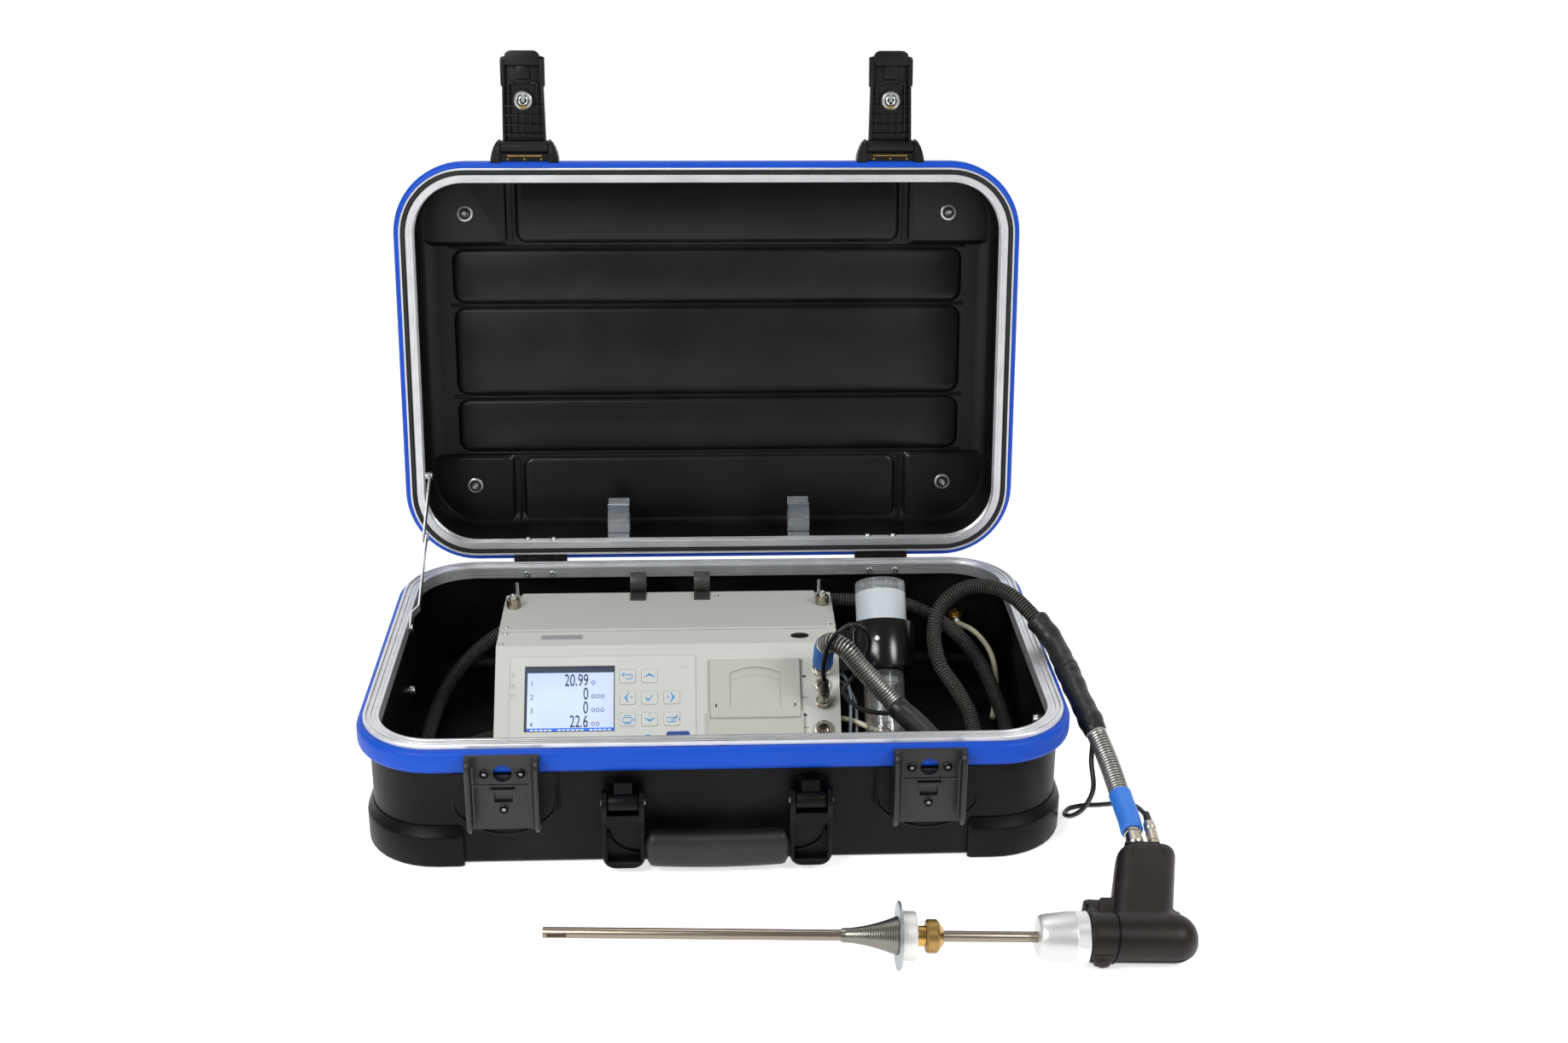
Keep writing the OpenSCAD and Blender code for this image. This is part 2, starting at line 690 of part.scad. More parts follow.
// Panel frame: x from the analyser's left side, y up the slope, z outward
module on_panel() {
    translate([ana_x, panel_y, ana_top]) rotate([panel_slope, 0, 0]) children();
}

module key_outline(k, grow) {
    translate([key_x0 + key_pitch * (k % 3), -key_u0 - key_pitch * floor(k / 3)])
        rounded_rect(key_w + 2 * grow, key_h + 2 * grow, 2);
}

// Places of the keys in the three by three block; the third place stays free
key_places = [0, 1, 3, 4, 5, 6, 7, 8];

module analyser_housing() {
    w = sheet_t;
    s = sin(panel_slope);
    c = cos(panel_slope);
    t = tan(panel_slope);
    color([0.78, 0.79, 0.76]) {
        difference() {
            side_view(ana_x, ana_w) polygon([
                [panel_foot, ana_z], [panel_y, ana_top], [ana_back, ana_top], [ana_back, ana_z]]);
            side_view(ana_x + w, ana_w - 2 * w) polygon([
                [panel_y + w * s - (ana_top - w * c - ana_z - w) / t, ana_z + w],
                [panel_y + w * s - (w - w * c) / t, ana_top - w],
                [ana_back - w, ana_top - w], [ana_back - w, ana_z + w]]);
            on_panel() {
                translate([screen_x, -screen_u - screen_h, -5]) cube([screen_w, screen_h, 10]);
                for (k = key_places) translate([0, 0, -5]) linear_extrude(10) key_outline(k, key_gap);
                for (u = [plug_u, pressure_u, sensor_u, spare_u])
                    translate([socket_x, -u, -5]) cylinder(h = 10, r = 5);
                translate([printer_x + 10, -printer_u - 44, -5]) cube([printer_w - 20, 34, 10]);
            }
        }
    }
}

module analyser_top_plate() {
    notch = [14.5, 15];
    color([0.8, 0.81, 0.78]) {
        translate([ana_x, 0, ana_top]) linear_extrude(plate_t) difference() {
            translate([0, ana_back - 79]) square([ana_w, 79]);
            for (x = [0, ana_w - notch.x]) translate([x, ana_back - notch.y]) square(notch);
        }
        for (x = [ana_x + nut_inset, ana_right - nut_inset])
            translate([x, nut_y, ana_top + plate_t]) cylinder(h = 11, r = 2.5);
    }
}

module mounting_brackets() {
    h = ana_z - floor_t;
    color([0.1, 0.1, 0.1]) {
        translate([ana_x + 15, ana_back - 45, floor_t]) cube([ana_w - 30, 25, h]);
        translate([ana_right - 45, panel_foot + 20, floor_t]) cube([25, ana_top_d - 45, h]);
    }
}

module thumb_nut(x) {
    z = ana_top + plate_t + 0.1;
    color([0.8, 0.8, 0.8]) translate([x, nut_y, z]) difference() {
        union() {
            cylinder(h = 1, r = 6.4);
            translate([0, 0, 1]) cylinder(h = 7.5, r = 5.8);
            for (k = [0 : 15]) rotate([0, 0, 22.5 * k])
                translate([5.6, -0.35, 1.4]) cube([0.6, 0.7, 6.6]);
        }
        translate([0, 0, -1]) cylinder(h = 14, r = 2.5 + fit);
    }
}

module thumb_nut_left() { thumb_nut(ana_x + nut_inset); }
module thumb_nut_right() { thumb_nut(ana_right - nut_inset); }

// Open spring clips on the rear edge of the top plate
module tube_clips() {
    z = ana_top + plate_t;
    cy = ana_back + 3;
    cz = z + 9.8;
    color([0.1, 0.1, 0.1]) for (x = [121, 179.5]) side_view(ana_x + x - 7.25, 14.5) {
        difference() {
            union() {
                translate([cy, cz]) circle(9.5);
                translate([ana_back - 19, z]) square([16, 1.6]);
            }
            translate([cy, cz]) circle(7.9);
            translate([cy, cz]) polygon([[0, 0], [-2, 20], [20, 20], [20, 3]]);
            translate([cy - 9.5, z - 6]) square([19, 6]);
        }
    }
}

module membrane_panel() {
    color([0.82, 0.83, 0.8]) on_panel() difference() {
        translate([foil_x, -foil_u - foil_len, 0]) cube([foil_w, foil_len, foil_t]);
        translate([screen_x, -screen_u - screen_h, -1]) cube([screen_w, screen_h, 3]);
        for (k = key_places) translate([0, 0, -1]) linear_extrude(3) key_outline(k, key_gap);
    }
}

module display_module() {
    color([0.55, 0.6, 0.85]) on_panel() {
        translate([screen_x, -screen_u - screen_h, -sheet_t]) cube([screen_w, screen_h, sheet_t + 0.2]);
        translate([screen_x - 2, -screen_u - screen_h - 2, -sheet_t - 6])
            cube([screen_w + 4, screen_h + 4, 6]);
    }
}

module key_cap(k) {
    color([0.85, 0.86, 0.84]) on_panel() translate([0, 0, -1.2]) linear_extrude(1.2 + foil_t + 0.35)
        key_outline(k, 0);
}

module key_back() { key_cap(0); }
module key_up() { key_cap(1); }
module key_left() { key_cap(3); }
module key_enter() { key_cap(4); }
module key_right() { key_cap(5); }
module key_print() { key_cap(6); }
module key_down() { key_cap(7); }
module key_save() { key_cap(8); }

module socket(u, flange_r, flange_h, bore_r) {
    translate([socket_x, -u, 0]) difference() {
        union() {
            cylinder(h = flange_h, r = flange_r);
            translate([0, 0, -8]) cylinder(h = 8, r = 5 - fit);
        }
        translate([0, 0, -6]) cylinder(h = 20, r = bore_r);
    }
}

module gas_sockets() {
    color([0.7, 0.68, 0.62]) on_panel() {
        socket(plug_u, 8.5, 3, 4);
        socket(pressure_u, 6.5, 4, 2.5);
        socket(sensor_u, 6.5, 3, 4);
        socket(spare_u, 8, 3.5, 4.2);
    }
}

module printer_frame() {
    side = 1.8;
    lug = 8;
    lower = door_axis_u + door_t / 2 + 0.3;
    color([0.76, 0.77, 0.74]) on_panel() translate([printer_x, 0, 0]) difference() {
        union() {
            difference() {
                translate([0, -printer_u - 79, 0]) cube([printer_w, 79, 0.8]);
                translate([12, -printer_u - 42, -1]) cube([printer_w - 24, 30, 3]);
            }
            translate([0, -printer_u - 79, 0]) cube([printer_w, printer_u + 79 - lower, 1 + door_t]);
            for (x = [0, printer_w - side])
                translate([x, -door_axis_u - lug / 2, 0]) cube([side, lug, door_t + 1.4]);
        }
        translate([0, -door_axis_u, door_axis_z]) x_rod(-1, printer_w + 1, 1 + fit);
    }
}

module printer_door() {
    gap = 2.1;
    w = printer_w - 2 * gap;
    color([0.8, 0.81, 0.78]) on_panel() translate([printer_x + gap, 0, 0]) {
        difference() {
            union() {
                translate([0, -door_axis_u, 1]) cube([w, door_len - 0.5, door_t]);
                translate([0, -door_axis_u, door_axis_z]) x_rod(0, w, door_t / 2);
            }
            // Shallow curved-top recess for the fingers
            translate([w / 2 - 22, -door_axis_u + 8, door_t + 0.2]) linear_extrude(2) polygon(concat(
                [[0, 0], [44, 0]], [for (i = [0 : 8]) [44 - 5.5 * i, 31 + 5 * sin(22.5 * i)]]));
        }
        translate([0, -door_axis_u, door_axis_z]) x_rod(0.3 - gap, w + gap - 0.3, 1);
    }
}

// Board, pump, gas cells and battery on a tray inside the housing
module measuring_unit() {
    z = ana_z + sheet_t;
    color([0.15, 0.4, 0.25]) {
        translate([ana_x + 20, panel_y - 12, z]) cube([ana_w - 60, 90, 2]);
        translate([ana_x + 30, panel_y + 70, z + 2]) cube([150, 1.6, 50]);
        for (k = [0 : 2]) translate([ana_x + 60 + 36 * k, panel_y + 50, z + 2]) cylinder(h = 22, r = 14);
        translate([ana_right - 90, panel_y + 30, z + 2]) cube([40, 28, 30]);
        translate([ana_right - 75, panel_y + 65, z + 2]) cylinder(h = 36, r = 8);
        translate([ana_x + 35, panel_y - 5, z + 2]) cube([110, 34, 20]);
    }
}

// ---- filter and condensate trap ----

module on_filter() {
    translate([filter_x, filter_y, filter_z]) rotate([-filter_lean, 0, 0]) children();
}

module filter_cap() {
    color([0.85, 0.88, 0.9, 0.6]) on_filter() translate([0, 0, 50.2]) difference() {
        union() {
            cylinder(h = 10, r = filter_r - 1.5);
            for (k = [0 : 29]) rotate([0, 0, 12 * k])
                translate([filter_r - 1.7, -0.6, 0.6]) cube([0.9, 1.2, 8.8]);
        }
        translate([0, 0, -1]) cylinder(h = 9, r = spigot_r + fit);
    }
}

module filter_body() {
    color([0.88, 0.9, 0.92]) on_filter() difference() {
        union() {
            translate([0, 0, -13.8]) cylinder(h = 63.8, r = filter_r);
            translate([0, 0, -36]) cylinder(h = 23, r = 9.7);
            translate([0, 0, 50]) cylinder(h = 5, r = spigot_r);
        }
        translate([0, 0, -8]) cylinder(h = 70, r = filter_r - 7);
        translate([0, 0, -40]) cylinder(h = 60, r = 3);
    }
}

module filter_holder() {
    outer = filter_r + 6.5;
    color([0.07, 0.07, 0.07]) on_filter() difference() {
        union() {
            translate([0, 0, -22]) cylinder(h = 43, r = outer);
            translate([ana_right - filter_x, -12, -22]) cube([filter_x - ana_right, 26, 36]);
            translate([0, 0, -28]) cylinder(h = 6, r = jar_bore - fit);
        }
        translate([0, 0, -13.8]) cylinder(h = 60, r = filter_r + 0.1);
        translate([0, 0, -30]) cylinder(h = 30, r = 9.8);
    }
}

module condensate_jar() {
    color([0.85, 0.88, 0.88, 0.5]) on_filter() translate([0, 0, -80]) difference() {
        cylinder(h = 57.8, r = jar_r);
        translate([0, 0, 2.5]) cylinder(h = 60, r = jar_bore);
    }
}

// ---- hose and leads ----

module hose_front_run() {
    color([0.07, 0.07, 0.07]) tube(front_route, hose_d / 2);
}

module hose_coil() {
    inner = coil_r - (coil_turns - 1) * coil_pitch - hose_d / 2;
    outer = coil_r + hose_d / 2;
    color([0.07, 0.07, 0.07]) translate([coil_c.x, coil_c.y, floor_t])
        rotate_extrude() translate([inner, 0]) square([outer - inner, hose_d]);
}

module hose_back_run() {
    color([0.07, 0.07, 0.07]) tube(back_route, hose_d / 2);
}

module hose_fittings() {
    n = len(back_route) - 1;
    m = len(probe_route) - 1;
    color([0.35, 0.55, 0.85]) {
        tube(slice(front_route, 0, 2), fitting_r);
        tube(slice(front_route, 2, 7), fitting_r - 0.5);
        tube(slice(front_route, 7, 10), fitting_r + 0.5);
        tube(slice(back_route, 23, 27), fitting_r + 0.5);
        tube(slice(back_route, 27, 29), fitting_r - 0.5);
        tube(slice(back_route, 29, 31), fitting_r);
        tube([back_route[n], back_route[n] + [0, -14, -3.3]], 7);
        tube([probe_route[m], probe_route[m] + [0, -14, -3.3]], 5.5);
        on_panel() {
            translate([socket_x, -plug_u, 3]) cylinder(h = 12, r = 6.5);
            translate([socket_x, -sensor_u, 3]) cylinder(h = 9, r = 5);
        }
    }
}

module sensor_lead() {
    color([0.05, 0.05, 0.05]) tube(sensor_route, lead_d / 2, 8);
}

module probe_lead() {
    color([0.05, 0.05, 0.05]) tube(probe_route, lead_d / 2, 8);
}

// ---- probe: local x runs from the tip to the handle ----

module on_probe() {
    translate([probe_x, probe_y, disc_r + 0.1]) rotate([0, probe_tilt, 0]) children();
}

module probe_tube() {
    color([0.65, 0.63, 0.6]) on_probe() difference() {
        x_rod(-255, 140, tube_r);
        x_rod(-256, 141, tube_r - 1);
        translate([-252, -tube_r - 1, -1.2]) cube([14, 2 * tube_r + 2, 2.4]);
    }
}

module depth_cone() {
    bore = tube_r + fit;
    color([0.5, 0.49, 0.47]) on_probe() rotate([0, 90, 0]) {
        rotate_extrude() polygon(concat(
            [[bore, 0], [bore, -41], [tube_r + 0.8, -41]],
            [for (i = [0 : 8]) [tube_r + 1.2 + 8.8 * pow(i / 8, 1.7), -38 + 4.6 * i]], [[disc_r * 0.5, 0]]));
        rotate_extrude() polygon([[bore, 0], [disc_r, 0], [disc_r, 1.8], [17.8, 1.8], [17.8, 13], [bore, 13]]);
        rotate_extrude() polygon([[bore, 13], [8.2, 13], [8.2, 15], [neck_r, 15], [neck_r, neck_end],
            [bore, neck_end]]);
    }
}

module clamp_nut() {
    bore = tube_r + 0.8;
    thread = neck_r + fit;
    start = 20.2;
    deep = neck_end + 0.3 - start;
    color([0.72, 0.5, 0.2]) on_probe() rotate([0, 90, 0]) translate([0, 0, start])
        rotate_extrude() polygon([[thread, 0], [neck_r + 4, 0], [neck_r + 5.2, 1.2], [neck_r + 5.2, 8],
            [neck_r + 4, 9.2], [bore + 1.2, 13], [bore, 13], [bore, deep], [thread, deep]]);
}

module probe_collar() {
    r = barrel_r + 0.8;
    color([0.8, 0.8, 0.8]) on_probe() rotate([0, 90, 0]) translate([0, 0, 102])
        rotate_extrude() polygon(concat([[tube_r, 0], [r - 4, 0]],
            arc(r - 4, 4, 4, -90, 0), [[r, 36], [tube_r, 36]]));
}

// Direction of the grip from the barrel
module on_grip() {
    on_probe() rotate([grip_lift, 0, 0]) children();
}

module probe_handle() {
    nose = 138;
    lean = 0.26;                                // sideways lean of the grip
    color([0.14, 0.11, 0.1]) difference() {
        union() {
            on_probe() {
                x_rod(nose, probe_tail, barrel_r);
                translate([probe_tail, 0, 0]) sphere(barrel_r);
            }
            on_grip() translate([0, 0, -grip_t / 2]) linear_extrude(grip_t) polygon(concat(
                [[154, 0], [200, 0], [200 + 14 * lean, 16]],
                arc(192 + grip_len * lean - 4, grip_len - 9, 9, 0, 90),
                arc(163 + grip_len * lean - 4, grip_len - 6, 6, 90, 165)));
            on_grip() translate([trigger_pin.x - 6, 14, -11]) cube([20, 38, 22]);
        }
        on_grip() translate([trigger_pin.x - 14, 18, -6.3]) cube([20, 36, 12.6]);
        on_probe() x_rod(nose - 1, nose + 2, tube_r);
    }
    color([0.4, 0.4, 0.4]) on_grip() translate([trigger_pin.x, trigger_pin.y, -8]) cylinder(h = 16, r = 1.5);
}

module probe_trigger() {
    color([0.12, 0.12, 0.12]) on_grip() translate([0, 0, -6]) difference() {
        linear_extrude(12) translate(trigger_pin) polygon(concat(
            arc(0, 0, 3.5, -180, 0), [[3.5, 8], [0, 20], [-4, 23], [-9, 24], [-10, 21], [-6, 16], [-4, 8]]));
        translate([trigger_pin.x, trigger_pin.y, -1]) cylinder(h = 14, r = 1.5 + fit);
    }
}

base_shell();
base_bumper();
base_rim();
corner_guards();
latch_keepers();
base_fasteners();
handle_brackets();
base_hinges();
handle_frame();
handle_grip();
lid_shell();
lid_bumper();
lid_rim();
lid_seal();
lid_fasteners();
probe_clips();
lid_hinges();
latch_bases();
latch_lever_left();
latch_lever_right();
lock_barrel_left();
lock_barrel_right();
stay_lower_arm();
stay_upper_arm();
analyser_housing();
analyser_top_plate();
mounting_brackets();
thumb_nut_left();
thumb_nut_right();
tube_clips();
membrane_panel();
display_module();
key_back();
key_up();
key_left();
key_enter();
key_right();
key_print();
key_down();
key_save();
gas_sockets();
printer_frame();
printer_door();
measuring_unit();
filter_cap();
filter_body();
filter_holder();
condensate_jar();
hose_front_run();
hose_coil();
hose_back_run();
hose_fittings();
sensor_lead();
probe_lead();
probe_tube();
depth_cone();
clamp_nut();
probe_collar();
probe_handle();
probe_trigger();
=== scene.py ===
"""Looks of a portable flue-gas detector kit: analyser, filter, hose and probe in a hard case.

Lengths in this file are millimetres; they become metres when a mesh object is made. Pieces are drawn in the
row frame (+X right, +Y back, +Z up), and pieces of the lid and of the latches are drawn shut and swung open.
"""

import json
import logging
from dataclasses import dataclass, field
from enum import Enum
from math import atan2, copysign, cos, degrees, pi, radians, sin, sqrt
from typing import Callable, Iterable, Optional, Sequence

import bmesh
import bpy
from bmesh.types import BMEdge, BMesh
from bpy.types import Material, Node, NodeSocket, NodeTree, Object
from mathutils import Matrix, Vector

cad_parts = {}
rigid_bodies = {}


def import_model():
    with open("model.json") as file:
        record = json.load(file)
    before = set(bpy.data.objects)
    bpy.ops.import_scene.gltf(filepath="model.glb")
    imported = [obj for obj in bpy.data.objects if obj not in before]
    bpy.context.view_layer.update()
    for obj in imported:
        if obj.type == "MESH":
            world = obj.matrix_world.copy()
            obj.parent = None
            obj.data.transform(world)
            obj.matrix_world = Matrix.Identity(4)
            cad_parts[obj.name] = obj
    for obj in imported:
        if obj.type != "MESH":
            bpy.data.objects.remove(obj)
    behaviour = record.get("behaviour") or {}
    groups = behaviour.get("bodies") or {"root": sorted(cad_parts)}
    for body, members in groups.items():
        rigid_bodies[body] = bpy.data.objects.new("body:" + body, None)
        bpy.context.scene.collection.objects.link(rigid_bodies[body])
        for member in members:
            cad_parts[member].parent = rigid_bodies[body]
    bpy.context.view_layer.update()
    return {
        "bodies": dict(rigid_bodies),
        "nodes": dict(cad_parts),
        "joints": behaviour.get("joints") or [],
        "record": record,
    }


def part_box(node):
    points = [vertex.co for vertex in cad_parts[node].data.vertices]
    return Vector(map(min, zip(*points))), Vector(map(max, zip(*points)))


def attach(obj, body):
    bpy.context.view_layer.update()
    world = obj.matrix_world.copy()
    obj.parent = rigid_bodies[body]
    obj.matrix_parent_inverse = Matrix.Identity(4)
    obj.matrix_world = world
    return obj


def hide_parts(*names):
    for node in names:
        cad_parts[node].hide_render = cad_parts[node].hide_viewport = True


LOG = logging.getLogger("gas_detector")
MM = 0.001
Points = list[Vector]
Profile = Sequence[tuple[float, float]]


# ---------------------------------------------------------------- geometry


def arc(cx: float, cy: float, radius: float, start: float, end: float,
        steps: int = 6) -> list[tuple[float, float]]:
    """Points along a round stretch of an outline.

    Args:
        cx, cy: the centre.
        radius: the radius.
        start, end: the angles in degrees.
        steps: how many steps the stretch has.

    Returns:
        steps + 1 points.
    """
    angles = [radians(start + (end - start) * i / steps) for i in range(steps + 1)]
    return [(cx + radius * cos(a), cy + radius * sin(a)) for a in angles]


def rounded_outline(width: float, height: float, radius: float, steps: int = 5) -> list[tuple[float, float]]:
    """A rectangle with round corners about the origin, counter-clockwise."""
    x, y = width / 2 - radius, height / 2 - radius
    corners = [(x, y, 0), (-x, y, 90), (-x, -y, 180), (x, -y, 270)]
    return [p for cx, cy, a in corners for p in arc(cx, cy, radius, a, a + 90, steps)]


def smooth_path(points: Sequence[Sequence[float]], step: float) -> Points:
    """A smooth line through points, with a point about every step.

    Args:
        points: the points it passes through.
        step: the spacing along the line.

    Returns:
        The points of the line, both ends among them.
    """
    p = [Vector(q) for q in points]
    p = [2 * p[0] - p[1], *p, 2 * p[-1] - p[-2]]
    line: Points = []
    for a, b, c, d in zip(p, p[1:], p[2:], p[3:]):
        t0 = 0.0
        t1 = t0 + max((b - a).length, 1e-6) ** 0.5
        t2 = t1 + max((c - b).length, 1e-6) ** 0.5
        t3 = t2 + max((d - c).length, 1e-6) ** 0.5
        count = max(1, round((c - b).length / step))
        for i in range(count):
            t = t1 + (t2 - t1) * i / count
            ab = a + (b - a) * ((t - t0) / (t1 - t0))
            bc = b + (c - b) * ((t - t1) / (t2 - t1))
            cd = c + (d - c) * ((t - t2) / (t3 - t2))
            abc = ab + (bc - ab) * ((t - t0) / (t2 - t0))
            bcd = bc + (cd - bc) * ((t - t1) / (t3 - t1))
            line.append(abc + (bcd - abc) * ((t - t1) / (t2 - t1)))
    return line + [p[-2]]


def path_length(path: Sequence[Vector]) -> float:
    """The length of a line of points."""
    return sum((b - a).length for a, b in zip(path, path[1:]))


def path_frames(path: Sequence[Vector]) -> list[tuple[Vector, Vector, Vector]]:
    """Heading and two sides at each point of a path, carried along it without twisting."""
    frames = []
    side: Optional[Vector] = None
    for i in range(len(path)):
        heading = (path[min(i + 1, len(path) - 1)] - path[max(i - 1, 0)]).normalized()
        guess = side or (Vector((0, 0, 1)) if abs(heading.z) < 0.8 else Vector((1, 0, 0)))
        side = (guess - heading * guess.dot(heading)).normalized()
        frames.append((heading, side, heading.cross(side)))
    return frames


def along(path: Sequence[Vector], start: float, end: float) -> Points:
    """The stretch of a path between two distances from its start."""
    out: Points = []
    run = 0.0
    for a, b in zip(path, path[1:]):
        length = (b - a).length
        if run <= start < run + length:
            out.append(a.lerp(b, (start - run) / length))
        elif start < run <= end:
            out.append(a.copy())
        if run < end <= run + length:
            out.append(a.lerp(b, (end - run) / length))
        run += length
    return out


class Shape:
    """Vertices and faces in millimetres, collected before they become one mesh."""

    def __init__(self) -> None:
        """Starts with nothing."""
        self.verts: list[Vector] = []
        self.faces: list[list[int]] = []
        self.uvs: Optional[list[tuple[float, float]]] = None

    def add(self, verts: Iterable[Vector], faces: Iterable[Sequence[int]]) -> "Shape":
        """Adds vertices and the faces between them."""
        base = len(self.verts)
        self.verts += [Vector(v) for v in verts]
        self.faces += [[base + i for i in f] for f in faces]
        return self

    def loft(self, rings: Sequence[Sequence[Vector]], loop: bool = False, caps: bool = True) -> "Shape":
        """Joins rings of equal count into a skin.

        Args:
            rings: closed rings of points.
            loop: whether the last ring joins the first.
            caps: whether the end rings are filled.

        Returns:
            This shape.
        """
        n, count = len(rings[0]), len(rings)
        faces = []
        for i in range(count if loop else count - 1):
            a, b = i * n, (i + 1) % count * n
            faces += [[a + k, a + (k + 1) % n, b + (k + 1) % n, b + k] for k in range(n)]
        if caps and not loop:
            faces += [list(range(n))[::-1], list(range((count - 1) * n, count * n))]
        return self.add([v for r in rings for v in r], faces)

    def lathe(self, profile: Profile, place: Matrix, steps: int = 48, closed: bool = False) -> "Shape":
        """Turns a profile of (along, radius) about the X axis of a place."""
        rings = []
        for x, r in profile:
            turn = [2 * pi * k / steps for k in range(steps)]
            rings.append([place @ Vector((x, r * cos(a), r * sin(a))) for a in turn])
        return self.loft(rings, loop=closed, caps=not closed)

    def extrude(self, outline: Profile, low: float, high: float, place: Matrix = Matrix()) -> "Shape":
        """Raises a flat outline of (x, y) between two heights."""
        rings = [[place @ Vector((x, y, z)) for x, y in outline] for z in (low, high)]
        return self.loft(rings)

    def block(self, low: Sequence[float], high: Sequence[float], place: Matrix = Matrix()) -> "Shape":
        """A rectangular block between two corners."""
        outline = [(low[0], low[1]), (high[0], low[1]), (high[0], high[1]), (low[0], high[1])]
        return self.extrude(outline, low[2], high[2], place)

    def tube(self, path: Sequence[Vector], radius: Callable[[float], float] | float,
            sides: int = 16) -> "Shape":
        """A round skin along a path, with lengthwise and round-the-tube coordinates in millimetres and turns.

        Args:
            path: the middle line.
            radius: the radius, or a function of the distance from the start.
            sides: corners in each ring.

        Returns:
            This shape.
        """
        size = radius if callable(radius) else (lambda s: radius)
        rings, run, uvs = [], 0.0, []
        for i, (p, (_, u, v)) in enumerate(zip(path, path_frames(path))):
            run += (p - path[i - 1]).length if i else 0.0
            turn = [2 * pi * k / sides for k in range(sides)]
            rings.append([p + size(run) * (cos(a) * u + sin(a) * v) for a in turn])
            uvs += [(run, k / sides) for k in range(sides)]
        self.uvs = (self.uvs or [(0.0, 0.0)] * len(self.verts)) + uvs
        return self.loft(rings)

    def strip(self, line: Sequence[Sequence[float]], width: float, height: float, place: Matrix,
            closed: bool = False) -> "Shape":
        """A flat line of even width, as printed or embossed on a surface.

        Args:
            line: its (x, y) points.
            width: its width.
            height: how far it stands up.
            place: the surface.
            closed: whether it ends where it starts.

        Returns:
            This shape.
        """
        p = [Vector((q[0], q[1])) for q in line]
        left, right = [], []
        for i, q in enumerate(p):
            before = p[i - 1] if i or closed else q
            after = p[(i + 1) % len(p)] if i < len(p) - 1 or closed else q
            heading = (after - before).normalized()
            side = Vector((-heading.y, heading.x)) * width / 2
            left.append(q + side)
            right.append(q - side)
        rings = []
        for a, b in zip(left, right):
            rings.append([place @ Vector((q.x, q.y, z)) for q, z in ((a, 0), (a, height), (b, height),
                (b, 0))])
        return self.loft(rings, loop=closed)

    def placed(self, place: Matrix) -> "Shape":
        """Moves everything so far by a matrix."""
        self.verts = [place @ v for v in self.verts]
        return self

    def bmesh(self) -> BMesh:
        """This shape as a bmesh, in millimetres, with outward faces."""
        bm = bmesh.new()
        verts = [bm.verts.new(v) for v in self.verts]
        layer = bm.loops.layers.uv.new("UVMap") if self.uvs else None
        for f in self.faces:
            face = bm.faces.new([verts[i] for i in f])
            if layer and self.uvs:
                top = max(self.uvs[i][1] for i in f)
                for loop, i in zip(face.loops, f):
                    u, v = self.uvs[i]
                    loop[layer].uv = (u, v + 1.0 if top - v > 0.5 else v)
        bmesh.ops.recalc_face_normals(bm, faces=bm.faces)
        return bm


def heading_frame(at: Vector, heading: Vector) -> Matrix:
    """A frame at a point, with its X along a heading."""
    return Matrix.Translation(at) @ heading.to_track_quat("X", "Z").to_matrix().to_4x4()


def soften(bm: BMesh, width: float, angle: float = 30.0, segments: int = 2,
        choose: Optional[Callable[[BMEdge], bool]] = None) -> None:
    """Rounds a mesh's sharp edges.

    Args:
        bm: the mesh, in millimetres.
        width: the width of the round.
        angle: the smallest angle between two faces that counts as sharp, in degrees.
        segments: steps across the round.
        choose: a test that narrows the edges.
    """
    limit = radians(angle)
    edges = [e for e in bm.edges if len(e.link_faces) == 2 and e.calc_face_angle(0) > limit]
    edges = [e for e in edges if choose is None or choose(e)]
    if edges:
        bmesh.ops.bevel(bm, geom=edges, offset=width, segments=segments, profile=0.6, affect="EDGES",
            clamp_overlap=True)


# ---------------------------------------------------------------- materials


def hex_linear(code: str) -> tuple[float, float, float, float]:
    """An sRGB hex colour as the linear values that shaders take."""
    parts = [int(code[i:i + 2], 16) / 255 for i in (1, 3, 5)]
    linear = [c / 12.92 if c <= 0.04045 else ((c + 0.055) / 1.055) ** 2.4 for c in parts]
    return (linear[0], linear[1], linear[2], 1.0)


def add_node(tree: NodeTree, kind: str, settings: dict[str, object], inputs: dict[str | int, object]) -> Node:
    """Adds a shader node.

    Args:
        tree: the material's node tree.
        kind: the node's type, without its ShaderNode prefix.
        settings: its own properties.
        inputs: its inputs, each a value or a socket to link from.

    Returns:
        The node.
    """
    node = tree.nodes.new("ShaderNode" + kind)
    for name, value in settings.items():
        setattr(node, name, value)
    for name, value in inputs.items():
        if isinstance(value, NodeSocket):
            tree.links.new(value, node.inputs[name])
        else:
            node.inputs[name].default_value = value
    return node


